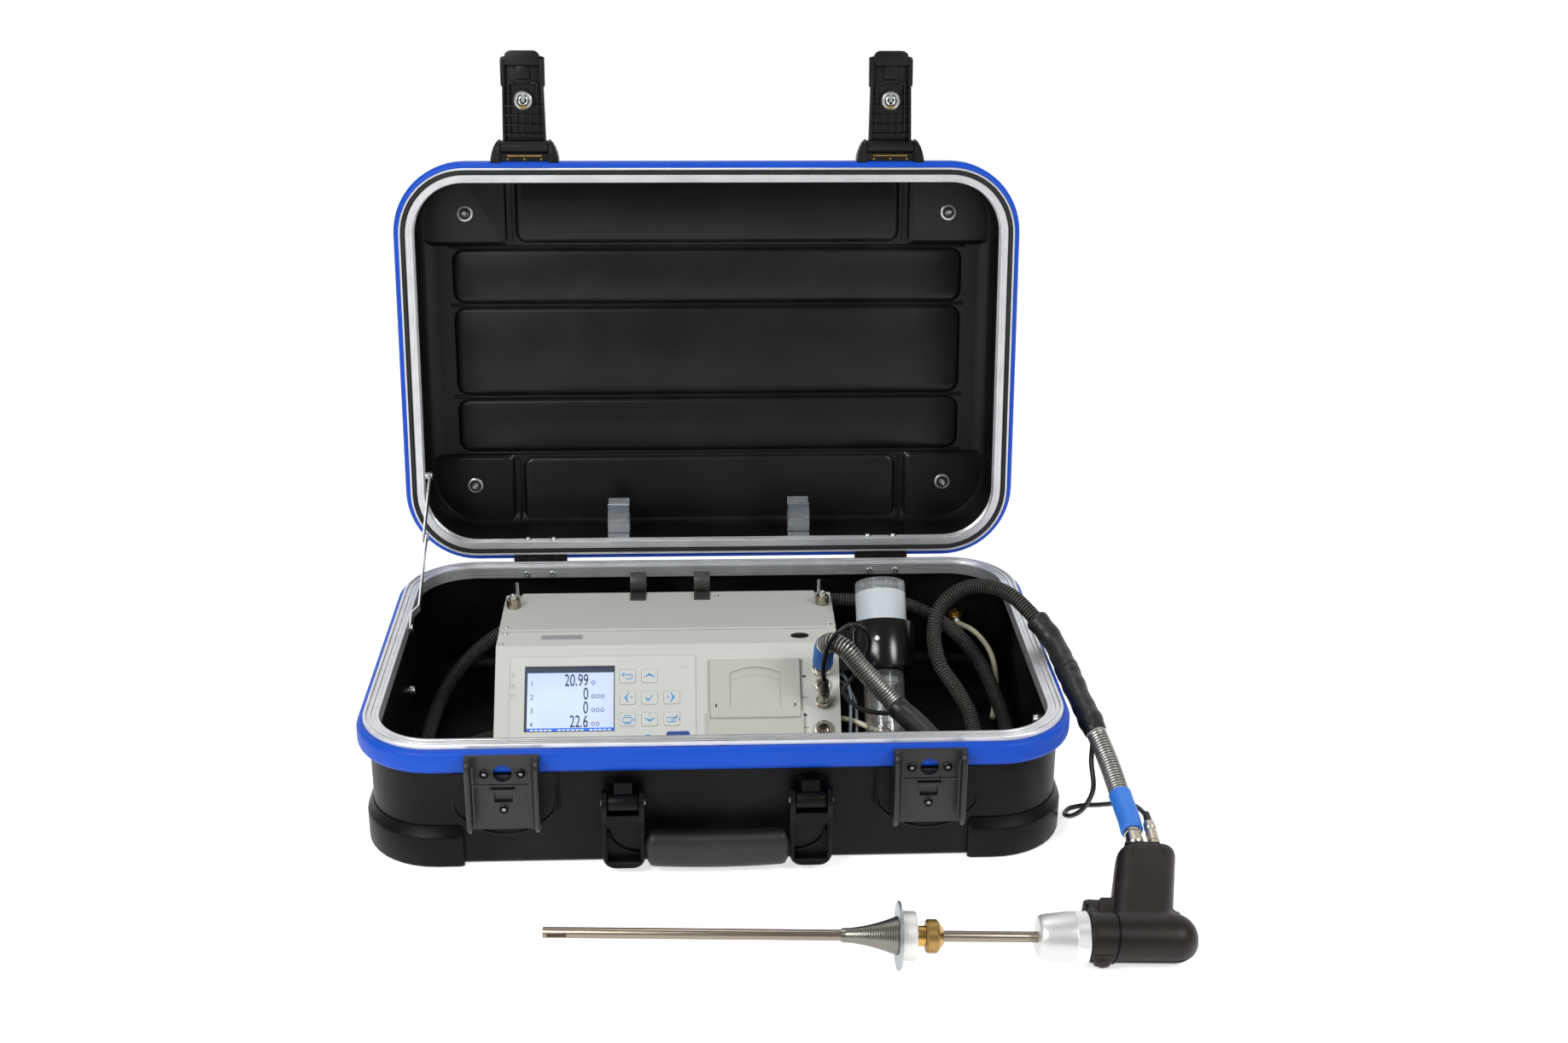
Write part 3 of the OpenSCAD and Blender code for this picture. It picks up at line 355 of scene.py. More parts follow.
@dataclass(frozen=True)
class Finish:
    """A plain surface of one colour. Other finishes add their pattern."""

    name: str
    colour: str
    roughness: float = 0.5
    metallic: float = 0.0
    ior: float = 1.5
    coat: float = 0.0
    slot: str = ""

    def material(self) -> Material:
        """The material, made once and shared."""
        found = bpy.data.materials.get(self.name)
        if found:
            return found
        made = bpy.data.materials.new(self.name)
        made.use_nodes = True
        tree = made.node_tree
        shader = tree.nodes["Principled BSDF"]
        shader.inputs["Base Color"].default_value = hex_linear(self.colour)
        shader.inputs["Roughness"].default_value = self.roughness
        shader.inputs["Metallic"].default_value = self.metallic
        shader.inputs["Coat Weight"].default_value = self.coat
        if not self.metallic:
            shader.inputs["IOR"].default_value = self.ior
        self.pattern(tree, shader)
        made.diffuse_color = hex_linear(self.colour)
        return made

    def pattern(self, tree: NodeTree, shader: Node) -> None:
        """Adds what makes the surface more than one colour."""

    def position(self, tree: NodeTree) -> NodeSocket:
        """Where a point is on the piece, in metres."""
        return add_node(tree, "TexCoord", {}, {}).outputs["Object"]

    def vary(self, tree: NodeTree, value: NodeSocket, low: float, high: float) -> NodeSocket:
        """Stretches a 0 to 1 value over a range."""
        node = add_node(tree, "MapRange", {}, {"Value": value, "To Min": low, "To Max": high})
        return node.outputs["Result"]

    def bump(self, tree: NodeTree, shader: Node, height: NodeSocket, depth: float,
            strength: float = 1.0) -> None:
        """Drives the shader's normal by a height.

        Args:
            tree: the material's node tree.
            shader: its shader.
            height: the height, 0 to 1.
            depth: how deep 1 is, in millimetres.
            strength: how much of it shows.
        """
        node = add_node(tree, "Bump", {}, {"Height": height, "Distance": depth * MM, "Strength": strength})
        tree.links.new(node.outputs["Normal"], shader.inputs["Normal"])

    def tint(self, tree: NodeTree, shader: Node, factor: NodeSocket, other: str) -> None:
        """Mixes a second colour in by a factor."""
        mix = add_node(tree, "Mix", {"data_type": "RGBA"}, {"Factor": factor, 6: hex_linear(self.colour),
            7: hex_linear(other)})
        tree.links.new(mix.outputs[2], shader.inputs["Base Color"])


@dataclass(frozen=True)
class MouldedPlastic(Finish):
    """Injection-moulded ABS. The mould's eroded grain scatters the light, and handling leaves it uneven."""

    grain: float = 0.7
    depth: float = 0.05
    scuffs: str = "#1b1b1c"

    def pattern(self, tree: NodeTree, shader: Node) -> None:
        """Grain as small cells, with broad patches that are a little duller."""
        at = self.position(tree)
        cells = add_node(tree, "TexVoronoi", {"feature": "SMOOTH_F1"},
            {"Vector": at, "Scale": 1 / (self.grain * MM), "Smoothness": 0.6})
        patches = add_node(tree, "TexNoise", {}, {"Vector": at, "Scale": 1 / (60 * MM), "Detail": 5.0})
        rough = self.vary(tree, patches.outputs["Fac"], self.roughness - 0.03, self.roughness + 0.04)
        tree.links.new(rough, shader.inputs["Roughness"])
        worn = add_node(tree, "ValToRGB", {}, {"Fac": patches.outputs["Fac"]})
        worn.color_ramp.elements[0].position = 0.45
        worn.color_ramp.elements[1].position = 0.95
        self.tint(tree, shader, worn.outputs["Color"], self.scuffs)
        self.bump(tree, shader, cells.outputs["Distance"], self.depth, 0.6)


@dataclass(frozen=True)
class PowderCoat(Finish):
    """Powder-coated sheet steel. The melted powder leaves a fine orange peel under a satin skin."""

    peel: float = 1.1
    depth: float = 0.02
    shade: str = "#c2c3bd"

    def pattern(self, tree: NodeTree, shader: Node) -> None:
        """Orange peel, and a faint unevenness of the colour."""
        at = self.position(tree)
        peel = add_node(tree, "TexNoise", {}, {"Vector": at, "Scale": 1 / (self.peel * MM), "Detail": 2.0})
        broad = add_node(tree, "TexNoise", {}, {"Vector": at, "Scale": 1 / (45 * MM), "Detail": 3.0})
        self.tint(tree, shader, self.vary(tree, broad.outputs["Fac"], 0.0, 0.45), self.shade)
        tree.links.new(self.vary(tree, broad.outputs["Fac"], self.roughness - 0.06, self.roughness + 0.06),
            shader.inputs["Roughness"])
        self.bump(tree, shader, peel.outputs["Fac"], self.depth, 0.5)


class Along(Enum):
    """Which way the lines of a drawn, brushed or turned metal run."""

    X = (0.02, 1.0, 1.0)
    Y = (1.0, 0.02, 1.0)
    Z = (1.0, 1.0, 0.02)
    CASE = (0.25, 0.25, 1.0)
    NONE = (1.0, 1.0, 1.0)


@dataclass(frozen=True)
class DrawnMetal(Finish):
    """Metal with lines: drawn through a die, brushed, or turned. The lines stretch its highlights."""

    lines: Along = Along.NONE
    spacing: float = 0.5
    stain: str = "#6d6e70"
    stained: float = 0.3
    depth: float = 0.02

    def pattern(self, tree: NodeTree, shader: Node) -> None:
        """Fine lines in the roughness and the height, and patches of handling marks."""
        at = self.position(tree)
        stretched = add_node(tree, "Mapping", {}, {"Vector": at, "Scale": self.lines.value})
        lines = add_node(tree, "TexNoise", {}, {"Vector": stretched.outputs["Vector"],
            "Scale": 1 / (self.spacing * MM), "Detail": 3.0})
        marks = add_node(tree, "TexNoise", {}, {"Vector": at, "Scale": 1 / (18 * MM), "Detail": 6.0})
        self.tint(tree, shader, self.vary(tree, marks.outputs["Fac"], 0.0, self.stained), self.stain)
        tree.links.new(self.vary(tree, lines.outputs["Fac"], self.roughness - 0.1, self.roughness + 0.15),
            shader.inputs["Roughness"])
        self.bump(tree, shader, lines.outputs["Fac"], self.depth, 0.4)


@dataclass(frozen=True)
class Braid(Finish):
    """Braided polyester sleeve over rubber. Flat yarns cross two ways, and each crown is tinted lighter: a
    painted glint.
    """

    yarns: int = 12
    pitch: float = 5.2
    # Colour of the painted glint, a highlight mixed into the base colour.
    painted_glint: str = "#8f8d86"

    def pattern(self, tree: NodeTree, shader: Node) -> None:
        """Two families of diagonal ridges, with a painted glint colour mixed in where yarns cross over."""
        at = add_node(tree, "UVMap", {"uv_map": "UVMap"}, {}).outputs["UV"]
        split = add_node(tree, "SeparateXYZ", {}, {"Vector": at})
        ridges = []
        for way in (1.0, -1.0):
            turn = add_node(tree, "Math", {"operation": "MULTIPLY"},
                {0: split.outputs["Y"], 1: way * self.yarns})
            step = add_node(tree, "Math", {"operation": "MULTIPLY_ADD"},
                {0: split.outputs["X"], 1: 1 / self.pitch, 2: turn.outputs[0]})
            angle = add_node(tree, "Math", {"operation": "MULTIPLY"}, {0: step.outputs[0], 1: 2 * pi})
            ridges.append(add_node(tree, "Math", {"operation": "SINE"}, {0: angle.outputs[0]}).outputs[0])
        weave = add_node(tree, "Math", {"operation": "MULTIPLY"}, {0: ridges[0], 1: ridges[1]})
        height = self.vary(tree, weave.outputs[0], 0.5, 1.0)
        crown = add_node(tree, "ValToRGB", {}, {"Fac": height})
        crown.color_ramp.elements[0].position = 0.62
        crown.color_ramp.elements[1].position = 0.9
        fleck = add_node(tree, "TexNoise", {}, {"Vector": self.position(tree), "Scale": 1 / (4 * MM),
            "Detail": 2.0})
        uneven = self.vary(tree, fleck.outputs["Fac"], 0.2, 1.0)
        # Painted highlight: the crowns, broken by a fine noise, are tinted towards the glint colour.
        painted_glint_mask = add_node(tree, "Math", {"operation": "MULTIPLY"}, {0: crown.outputs["Color"], 1: uneven})
        self.tint(tree, shader, painted_glint_mask.outputs[0], self.painted_glint)
        self.bump(tree, shader, height, 0.9, 0.9)


@dataclass(frozen=True)
class ClearPlastic(Finish):
    """Clear polycarbonate or glass, with the light scratches of use."""

    def pattern(self, tree: NodeTree, shader: Node) -> None:
        """Lets light through, with faint scratches in the gloss."""
        shader.inputs["Transmission Weight"].default_value = 0.92
        scratches = add_node(tree, "TexNoise", {}, {"Vector": self.position(tree), "Scale": 1 / (1.5 * MM),
            "Detail": 8.0, "Distortion": 2.0})
        tree.links.new(self.vary(tree, scratches.outputs["Fac"], self.roughness, self.roughness + 0.1),
            shader.inputs["Roughness"])


@dataclass(frozen=True)
class Backlit(Finish):
    """A lit liquid-crystal screen. Its lamps leave one side brighter, and its dot grid shows close up."""

    glow: float = 1.0
    pale: str = "#e3e9ff"
    dot: float = 0.24

    def pattern(self, tree: NodeTree, shader: Node) -> None:
        """Emission that fades across the screen, broken by the dot grid."""
        at = self.position(tree)
        lamps = add_node(tree, "TexNoise", {}, {"Vector": at, "Scale": 1 / (70 * MM), "Detail": 1.0})
        mix = add_node(tree, "Mix", {"data_type": "RGBA"},
            {"Factor": lamps.outputs["Fac"], 6: hex_linear(self.colour), 7: hex_linear(self.pale)})
        grid = add_node(tree, "TexVoronoi", {"feature": "F1", "distance": "CHEBYCHEV"},
            {"Vector": at, "Scale": 1 / (self.dot * 2 * MM), "Randomness": 0.0})
        tree.links.new(mix.outputs[2], shader.inputs["Base Color"])
        tree.links.new(mix.outputs[2], shader.inputs["Emission Color"])
        tree.links.new(self.vary(tree, grid.outputs["Distance"], self.glow, self.glow * 0.92),
            shader.inputs["Emission Strength"])


@dataclass(frozen=True)
class Printed(Finish):
    """Screen-printed ink on the panel foil: flat and even, with slightly mottled edges."""

    glow: float = 0.0

    def pattern(self, tree: NodeTree, shader: Node) -> None:
        """A little mottling in the gloss."""
        mottle = add_node(tree, "TexNoise", {}, {"Vector": self.position(tree), "Scale": 1 / (0.8 * MM)})
        tree.links.new(self.vary(tree, mottle.outputs["Fac"], self.roughness - 0.08, self.roughness + 0.08),
            shader.inputs["Roughness"])
        if self.glow:
            shader.inputs["Emission Color"].default_value = hex_linear(self.colour)
            shader.inputs["Emission Strength"].default_value = self.glow


# Case: grained black ABS shells, satin PVC bumpers, and drawn aluminium frames.
BLACK_ABS = MouldedPlastic("grained_black_abs", "#040404", 0.42, ior=1.25, slot="black_moulding")
LID_LINING = MouldedPlastic("formed_black_lid_abs", "#0c0c0b", 0.34, ior=1.36, grain=0.9, depth=0.05,
    slot="black_moulding")
LATCH_NYLON = MouldedPlastic("moulded_black_nylon", "#060606", 0.38, ior=1.34, grain=0.5, depth=0.03,
    slot="black_moulding")
BLUE_BUMPER = MouldedPlastic("satin_blue_bumper_pvc", "#0045b6", 0.46, ior=1.34, grain=0.6, depth=0.03,
    scuffs="#004cc0", slot="blue_bumper")
FRAME_ALUMINIUM = DrawnMetal("drawn_aluminium_frame", "#f0f1f3", 0.36, 0.9, lines=Along.CASE, spacing=0.8,
    stain="#9b9da1", stained=0.5, slot="bright_frame")
SEAL_RUBBER = MouldedPlastic("extruded_black_rubber_seal", "#0b0b0b", 0.6, grain=1.2, slot="seal_rubber")
GRIP_RUBBER = MouldedPlastic("soft_touch_grip_rubber", "#0b0b0b", 0.5, grain=0.4, slot="soft_grip")
BLACK_STEEL = DrawnMetal("blackened_steel", "#151516", 0.45, 0.9, stain="#050505", slot="black_metal")
ZINC_STEEL = DrawnMetal("zinc_plated_steel", "#d6d9dc", 0.3, 1.0, stain="#8c8f8a", stained=0.5,
    slot="bright_steel")
SPRING_STEEL = DrawnMetal("zinc_plated_spring_strip", "#cdd3d8", 0.22, 1.0, lines=Along.X, stain="#8f9aa2",
    stained=0.6, slot="bright_steel")
NICKEL = DrawnMetal("nickel_plated_brass", "#c9c2b3", 0.24, 1.0, stain="#8e8473", stained=0.4,
    slot="nickel_socket")

# Analyser: light grey powder coat, screen-printed foil, lit display.
LIGHT_COAT = PowderCoat("light_grey_powder_coat", "#c9cbc4", 0.48, slot="light_housing")
# The housing's powder coat made darker for the top plate: painted shade standing in for the duller light on
# the top.
TOP_PLATE_SHADED_COAT = PowderCoat("light_grey_coat_painted_shade", "#bbbdb6", 0.5, shade="#b4b5af", slot="light_housing")
PRINTER_ABS = PowderCoat("light_grey_printer_abs", "#bfbeb5", 0.5, peel=0.6, shade="#b5b4ab",
    slot="light_housing")
FOIL = PowderCoat("textured_polyester_foil", "#cdcfca", 0.55, peel=0.35, shade="#c5c8c3", slot="panel_foil")
KEY_FOIL = PowderCoat("embossed_key_foil", "#cfd1cc", 0.55, peel=0.35, shade="#c8cac5", slot="key_foil")
DARK_CLIP = MouldedPlastic("dark_grey_spring_plastic", "#343331", 0.45, scuffs="#45433f",
    slot="black_moulding")
LABEL = Printed("brushed_silver_label", "#b9bbbd", 0.4, 0.4, slot="light_housing")
SCREEN = Backlit("backlit_display", "#839ddc", 0.25, glow=0.42, slot="lit_display")
SCREEN_BAR = Printed("display_blue_bar", "#1f5fe0", 0.3, glow=0.6, slot="lit_display")
# Dark blue-grey for the painted shadow under the bezel on the screen's edges.
SCREEN_PAINTED_SHADOW = Printed("display_painted_edge_shadow", "#3a4358", 0.3, slot="lit_display")
DIGIT_INK = Printed("display_dark_digits", "#0c1024", 0.35, slot="lit_display")
PALE_DIGIT_INK = Printed("display_pale_marks", "#e8f0ff", 0.35, glow=0.6, slot="lit_display")
CYAN_INK = Printed("cyan_foil_ink", "#1f8fce", 0.5, slot="key_foil")
NAVY_INK = Printed("navy_foil_ink", "#123f8c", 0.45, slot="panel_foil")
WHITE_INK = Printed("white_foil_ink", "#e8eefa", 0.5, slot="panel_foil")
GREY_INK = Printed("grey_foil_ink", "#8d8f8f", 0.5, slot="panel_foil")
DARK_INK = Printed("black_foil_ink", "#1a1a1a", 0.5, slot="light_housing")

# Filter, hose and leads.
CLEAR_CAP = ClearPlastic("clear_polycarbonate_cap", "#f4f7f8", 0.08, ior=1.58, slot="clear_filter")
CLEAR_JAR = ClearPlastic("clear_glass_jar", "#f2f6f5", 0.03, ior=1.5, slot="clear_filter")
FILTER_WALL = PowderCoat("milky_filter_polycarbonate", "#c7ced3", 0.35, peel=3.0, shade="#bcc4ca",
    slot="filter_wool")
WHITE_PART = MouldedPlastic("white_acetal", "#d9dcdc", 0.4, scuffs="#c9cccd", slot="filter_wool")
HOSE_BRAID = Braid("braided_black_sleeving", "#040404", 0.5, ior=1.3, slot="braided_hose")
SHRINK = MouldedPlastic("black_heat_shrink", "#141515", 0.42, grain=1.6, depth=0.08, scuffs="#262727",
    slot="braided_hose")
GUARD_STEEL = DrawnMetal("steel_spring_wire", "#cbc9c4", 0.4, 1.0, stain="#55534f", stained=0.6,
    slot="bright_steel")
BLUE_SLEEVE = MouldedPlastic("blue_polyolefin_sleeve", "#2f74cf", 0.5, grain=1.2, scuffs="#3b82dc",
    slot="blue_sleeve")
LEAD_PVC = MouldedPlastic("black_pvc_lead", "#0e0e0e", 0.4, grain=0.8, depth=0.02, slot="lead_sheath")
CREAM_TUBE = MouldedPlastic("cream_silicone_tube", "#cfcab0", 0.35, grain=1.5, scuffs="#bdb79a",
    slot="filter_wool")
GREY_TUBE = MouldedPlastic("grey_polyurethane_tube", "#77808a", 0.3, grain=1.5, scuffs="#8a929b",
    slot="filter_wool")

# Probe.
PROBE_STEEL = DrawnMetal("drawn_stainless_tube", "#968b7e", 0.3, 1.0, lines=Along.X, stain="#85796b",
    stained=0.3, slot="probe_steel")
CONE_STEEL = DrawnMetal("turned_stainless_cone", "#8d8982", 0.3, 1.0, spacing=0.9, stain="#5f5a52",
    stained=0.5, slot="probe_steel")
DISC_ZINC = DrawnMetal("zinc_plated_disc", "#b9bec0", 0.4, 1.0, stain="#7b8386", stained=0.5,
    slot="probe_steel")
KNURLED_ZINC = Finish("knurled_zinc_collar", "#e4e3df", 0.45, 0.65, slot="probe_steel")
BRASS = DrawnMetal("turned_brass", "#cfab62", 0.25, 1.0, stain="#8f6128", stained=0.4, slot="brass_fitting")
KNURLED_BRASS = Finish("knurled_brass_nut", "#a98a55", 0.4, 1.0, slot="brass_fitting")
SATIN_ALUMINIUM = DrawnMetal("blasted_aluminium", "#d9d9d7", 0.4, 0.75, stain="#cccecf", stained=0.4,
    slot="turned_aluminium")
FLUTED_ALUMINIUM = Finish("bright_fluted_aluminium", "#ececec", 0.3, 0.75, slot="turned_aluminium")
PROBE_PLASTIC = MouldedPlastic("brown_black_probe_plastic", "#160e0a", 0.44, ior=1.38, grain=0.6, depth=0.04,
    scuffs="#2e2521", slot="probe_plastic")


# ---------------------------------------------------------------- workshop


@dataclass
class Workshop:
    """Makes pieces from shapes, dresses them, and puts them on the frame's bodies."""

    frame: dict
    count: int = 0

    def piece(self, name: str, shape: Shape | BMesh, finish: Finish, body: str = "case_base",
            replaces: Sequence[str] = (), smooth: float = 35.0) -> Object:
        """Makes one piece of the object.

        Args:
            name: its name.
            shape: its surface, in millimetres.
            finish: what it is made of.
            body: the body it rides on.
            replaces: the CAD nodes it stands for.
            smooth: edges flatter than this, in degrees, are shaded smooth.

        Returns:
            The piece.
        """
        bm = shape.bmesh() if isinstance(shape, Shape) else shape
        bmesh.ops.scale(bm, vec=(MM, MM, MM), verts=bm.verts)
        mesh = bpy.data.meshes.new(name)
        bm.to_mesh(mesh)
        bm.free()
        mesh.materials.append(finish.material())
        mesh.polygons.foreach_set("use_smooth", [True] * len(mesh.polygons))
        mesh.set_sharp_from_angle(angle=radians(smooth))
        made = bpy.data.objects.new(name, mesh)
        bpy.context.scene.collection.objects.link(made)
        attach(made, body)
        if replaces:
            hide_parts(*replaces)
        self.count += 1
        LOG.info("%3d %s, %d faces, on %s", self.count, name, len(mesh.polygons), body)
        return made

    def joint(self, name: str) -> dict:
        """A joint of the record, by its name."""
        return next(j for j in self.frame["record"]["behaviour"]["joints"] if j["name"] == name)

    def dress(self, node: str, finish: Finish, round_by: float = 0.0) -> None:
        """Gives a CAD node its finish, and rounds its edges.

        Args:
            node: the node's name.
            finish: what it is made of.
            round_by: the width of the round, in millimetres.
        """
        made = self.frame["nodes"][node]
        if not made.data.materials:
            made.data.materials.append(finish.material())
        for i in range(len(made.data.materials)):
            made.data.materials[i] = finish.material()
        if round_by:
            weld = made.modifiers.new("weld", "WELD")
            weld.merge_threshold = 0.002 * MM
            flat = made.modifiers.new("flat", "DECIMATE")
            flat.decimate_type = "DISSOLVE"
            flat.angle_limit = radians(0.3)
            bevel = made.modifiers.new("round", "BEVEL")
            bevel.width = round_by * MM
            bevel.segments = 2
            bevel.limit_method = "ANGLE"
            bevel.angle_limit = radians(32)
            bevel.harden_normals = False
        LOG.info("    %s in %s", node, finish.name)

    def numerals(self, name: str, text: str, size: float, narrow: float, bold: float, place: Matrix,
            finish: Finish, body: str = "case_base") -> Object:
        """Makes flat figures that end at the place's origin, in the built-in typeface.

        Args:
            name: the piece's name.
            text: the figures.
            size: their size.
            narrow: how much narrower than the typeface they are.
            bold: how much bolder.
            place: the surface.
            finish: what they are made of.
            body: the body they ride on.

        Returns:
            The piece.
        """
        letters = bpy.data.curves.new(name, "FONT")
        letters.body, letters.size, letters.align_x = text, size, "RIGHT"
        letters.offset, letters.extrude = bold, 0.02
        holder = bpy.data.objects.new(name + "_source", letters)
        bpy.context.scene.collection.objects.link(holder)
        flat = bpy.data.meshes.new_from_object(holder.evaluated_get(bpy.context.evaluated_depsgraph_get()))
        bm = bmesh.new()
        bm.from_mesh(flat)
        bpy.data.objects.remove(holder)
        bpy.data.curves.remove(letters)
        bpy.data.meshes.remove(flat)
        bmesh.ops.transform(bm, matrix=place @ Matrix.Diagonal((narrow, 1, 1, 1)), verts=bm.verts)
        return self.piece(name, bm, finish, body)


def move(x: float, y: float, z: float) -> Matrix:
    """A move by millimetres."""
    return Matrix.Translation((x, y, z))


def turn(angle: float, axis: str) -> Matrix:
    """A turn in degrees about an axis through the origin."""
    return Matrix.Rotation(radians(angle), 4, axis)


def corners(node: str) -> tuple[Vector, Vector]:
    """The lowest and highest corner of a CAD node, in millimetres."""
    low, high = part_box(node)
    return Vector(low) / MM, Vector(high) / MM


FACING = turn(90, "X")  # a flat drawing stood up to face the front


# ---------------------------------------------------------------- hose and leads


@dataclass
class HoseAndLeads:
    """The braided gas hose with its fittings, the two thermocouple leads, and the tubes inside the case."""

    shop: Workshop
    hose_r: float = 6.5
    lead_r: float = 2.0
    fitting_r: float = 9.0
    wire_r: float = 1.15
    coil_centre: tuple[float, float] = (-158, -58)
    coil_turns: Sequence[float] = (93, 79, 65)
    coil_z: float = 10.5
    front_route: Sequence[tuple[float, float, float]] = ((94, -2, 87), (94, -11, 101), (95, -20, 113),
        (101, -30, 120), (111, -38, 117), (124, -46, 103), (141, -57, 87), (154, -68, 76), (168, -86, 70),
        (181, -105, 62), (196, -122, 50), (218, -130, 34), (240, -118, 22), (252, -90, 16), (256, -55, 17),
        (257, -15, 22), (253, 28, 33), (243, 66, 50), (223, 97, 68), (183, 134, 79), (150, 143, 80),
        (114, 146, 80), (70, 147, 79), (20, 147, 78), (-40, 147, 77), (-100, 147, 75), (-150, 146, 70),
        (-190, 138, 58), (-220, 118, 43), (-240, 88, 28), (-249, 50, 17), (-252, 10, 12), (-251, -25, 10.5),
        (-251, -56, 10.5))
    back_route: Sequence[tuple[float, float, float]] = ((-158, -123, 10.5), (-135, -122, 15),
        (-111, -121, 23.5), (-86, -121, 25.5), (-60, -123, 22), (-34, -128, 15), (-5, -134, 11),
        (40, -140, 10.5), (90, -143, 10.5), (140, -142, 10.5), (180, -134, 12), (206, -112, 20),
        (219, -76, 34), (219, -38, 53), (209, -15, 67), (197, 4, 81), (194, 30, 99), (200, 42, 117),
        (211, 43, 130), (224, 39, 139), (237, 32, 143), (249, 22, 144), (260, 11, 141), (276, -6, 129),
        (288, -22, 117), (295, -50, 106), (301, -85, 94), (308, -120, 82), (314, -150, 69), (318, -182, 56),
        (320, -205, 49), (320, -222, 45))
    sensor_route: Sequence[tuple[float, float, float]] = ((94, -21, 63), (94, -29, 78), (92, -36, 100),
        (96, -43, 124), (104, -46, 138), (114, -44, 143), (125, -38, 136), (131, -29, 120), (130, -20, 103),
        (127, -12, 87), (119, -8, 75), (112, -13, 69), (113, -25, 66), (121, -38, 63), (133, -50, 64),
        (146, -62, 69), (157, -73, 74))
    probe_route: Sequence[tuple[float, float, float]] = ((307, -123, 81), (302, -143, 66), (302, -157, 48),
        (297, -152, 28), (291, -136, 11), (288, -122, 4), (294, -111, 3), (304, -112, 6), (315, -128, 16),
        (324, -152, 31), (331, -180, 45), (334, -205, 50), (334, -222, 47))
    grip_dir: Vector = field(default_factory=lambda: Vector((0, -14, -3.3)).normalized())

    def coil(self) -> Points:
        """The stored turns, entered at the left heading to the front and left at the inner front."""
        turns: Points = []
        steps = 36
        radii = [*self.coil_turns, self.coil_turns[-1]]
        total = int(steps * (len(self.coil_turns) - 0.75))
        for i in range(1, total):
            lap = i / steps
            low = int(lap)
            share = min(1.0, lap - low)
            r = radii[low] + (radii[min(low + 1, len(radii) - 1)] - radii[low]) * share
            a = pi + 2 * pi * lap
            turns.append(Vector((self.coil_centre[0] + r * cos(a), self.coil_centre[1] + r * sin(a),
                self.coil_z)))
        return turns

    def build(self) -> None:
        """Makes the hose, the two leads and the tubes inside the case."""
        hose_path = smooth_path([*self.front_route, *self.coil(), *self.back_route], 3.0)
        front = smooth_path(self.front_route, 2.0)
        back = smooth_path(self.back_route, 2.0)
        fittings = self.hose_fittings(front, back)
        hose = self.shop.piece("gas_hose", Shape().tube(hose_path, self.hose_r, 20), HOSE_BRAID,
            replaces=("hose_front_run", "hose_coil", "hose_back_run"))
        for name, route, ends, radius in (("sensor_lead_cable", self.sensor_route, self.sensor_ends,
                self.lead_r), ("probe_lead_cable", self.probe_route, self.probe_ends, self.lead_r)):
            path = smooth_path(route, 2.0)
            lead = self.shop.piece(name, Shape().tube(path, radius, 12), LEAD_PVC,
                replaces=(name.replace("_cable", ""),))
            ends(path)
        self.inner_tubes()

    def reach(self, path: Points, point: Sequence[float]) -> float:
        """How far along a path its nearest point to a given point is."""
        target = Vector(point)
        nearest = min(range(len(path)), key=lambda i: (path[i] - target).length)
        return path_length(path[:nearest + 1])

    def spring(self, name: str, path: Points, start: float, end: float, radius: float) -> Object:
        """A close-wound spring guard round a stretch of hose.

        Args:
            name: the piece's name.
            path: the hose's middle line.
            start, end: the stretch, as distances along it.
            radius: the outside of the spring.

        Returns:
            The piece.
        """
        middle = smooth_path(along(path, start, end), 1.5)
        frames = path_frames(middle)
        gaps = [(b - a).length for a, b in zip(middle, middle[1:])]
        length = sum(gaps)
        coils = length / (2.25 * self.wire_r)
        steps = int(coils * 14)
        helix: Points = []
        i, run = 0, 0.0
        for k in range(steps + 1):
            s = length * k / steps
            while i < len(gaps) - 1 and s > run + gaps[i]:
                run += gaps[i]
                i += 1
            share = (s - run) / gaps[i]
            at = middle[i].lerp(middle[i + 1], share)
            _, u, v = frames[i]
            _, u2, v2 = frames[i + 1]
            a = 2 * pi * coils * k / steps
            side = (u.lerp(u2, share) * cos(a) + v.lerp(v2, share) * sin(a)).normalized()
            helix.append(at + side * (radius - self.wire_r))
        shape = Shape().tube(helix, self.wire_r, 6)
        shape.uvs = None
        return self.shop.piece(name, shape, GUARD_STEEL)

    def sleeve(self, name: str, path: Points, start: float, end: float, radius: float, finish: Finish,
            lumps: float = 0.0) -> Object:
        """A sleeve shrunk or pushed over a stretch of hose.

        Args:
            name: the piece's name.
            path: the hose's middle line.
            start, end: the stretch, as distances along it.
            radius: its radius.
            finish: what it is made of.
            lumps: how much it swells over what lies under it.

        Returns:
            The piece.
        """
        middle = smooth_path(along(path, start, end), 1.5)
        length = path_length(middle)

        def size(s: float) -> float:
            """The radius at a distance from the start, with rolled ends."""
            edge = min(s, length - s)
            rolled = radius - 1.2 * max(0.0, 1 - edge / 2.0) ** 2
            swell = lumps * (0.5 + 0.5 * sin(s / 7.0)) * (0.6 + 0.4 * sin(s / 3.1 + 1.0))
            return rolled + swell

        shape = Shape().tube(middle, size, 24)
        shape.uvs = None
        return self.shop.piece(name, shape, finish, smooth=50)

    def plug(self, name: str, profile: Profile, start: Vector, heading: Vector, finish: Finish) -> Object:
        """A turned plug that starts at a point and points along a heading."""
        place = heading_frame(start, heading)
        return self.shop.piece(name, Shape().lathe(profile, place, 36), finish, smooth=25)

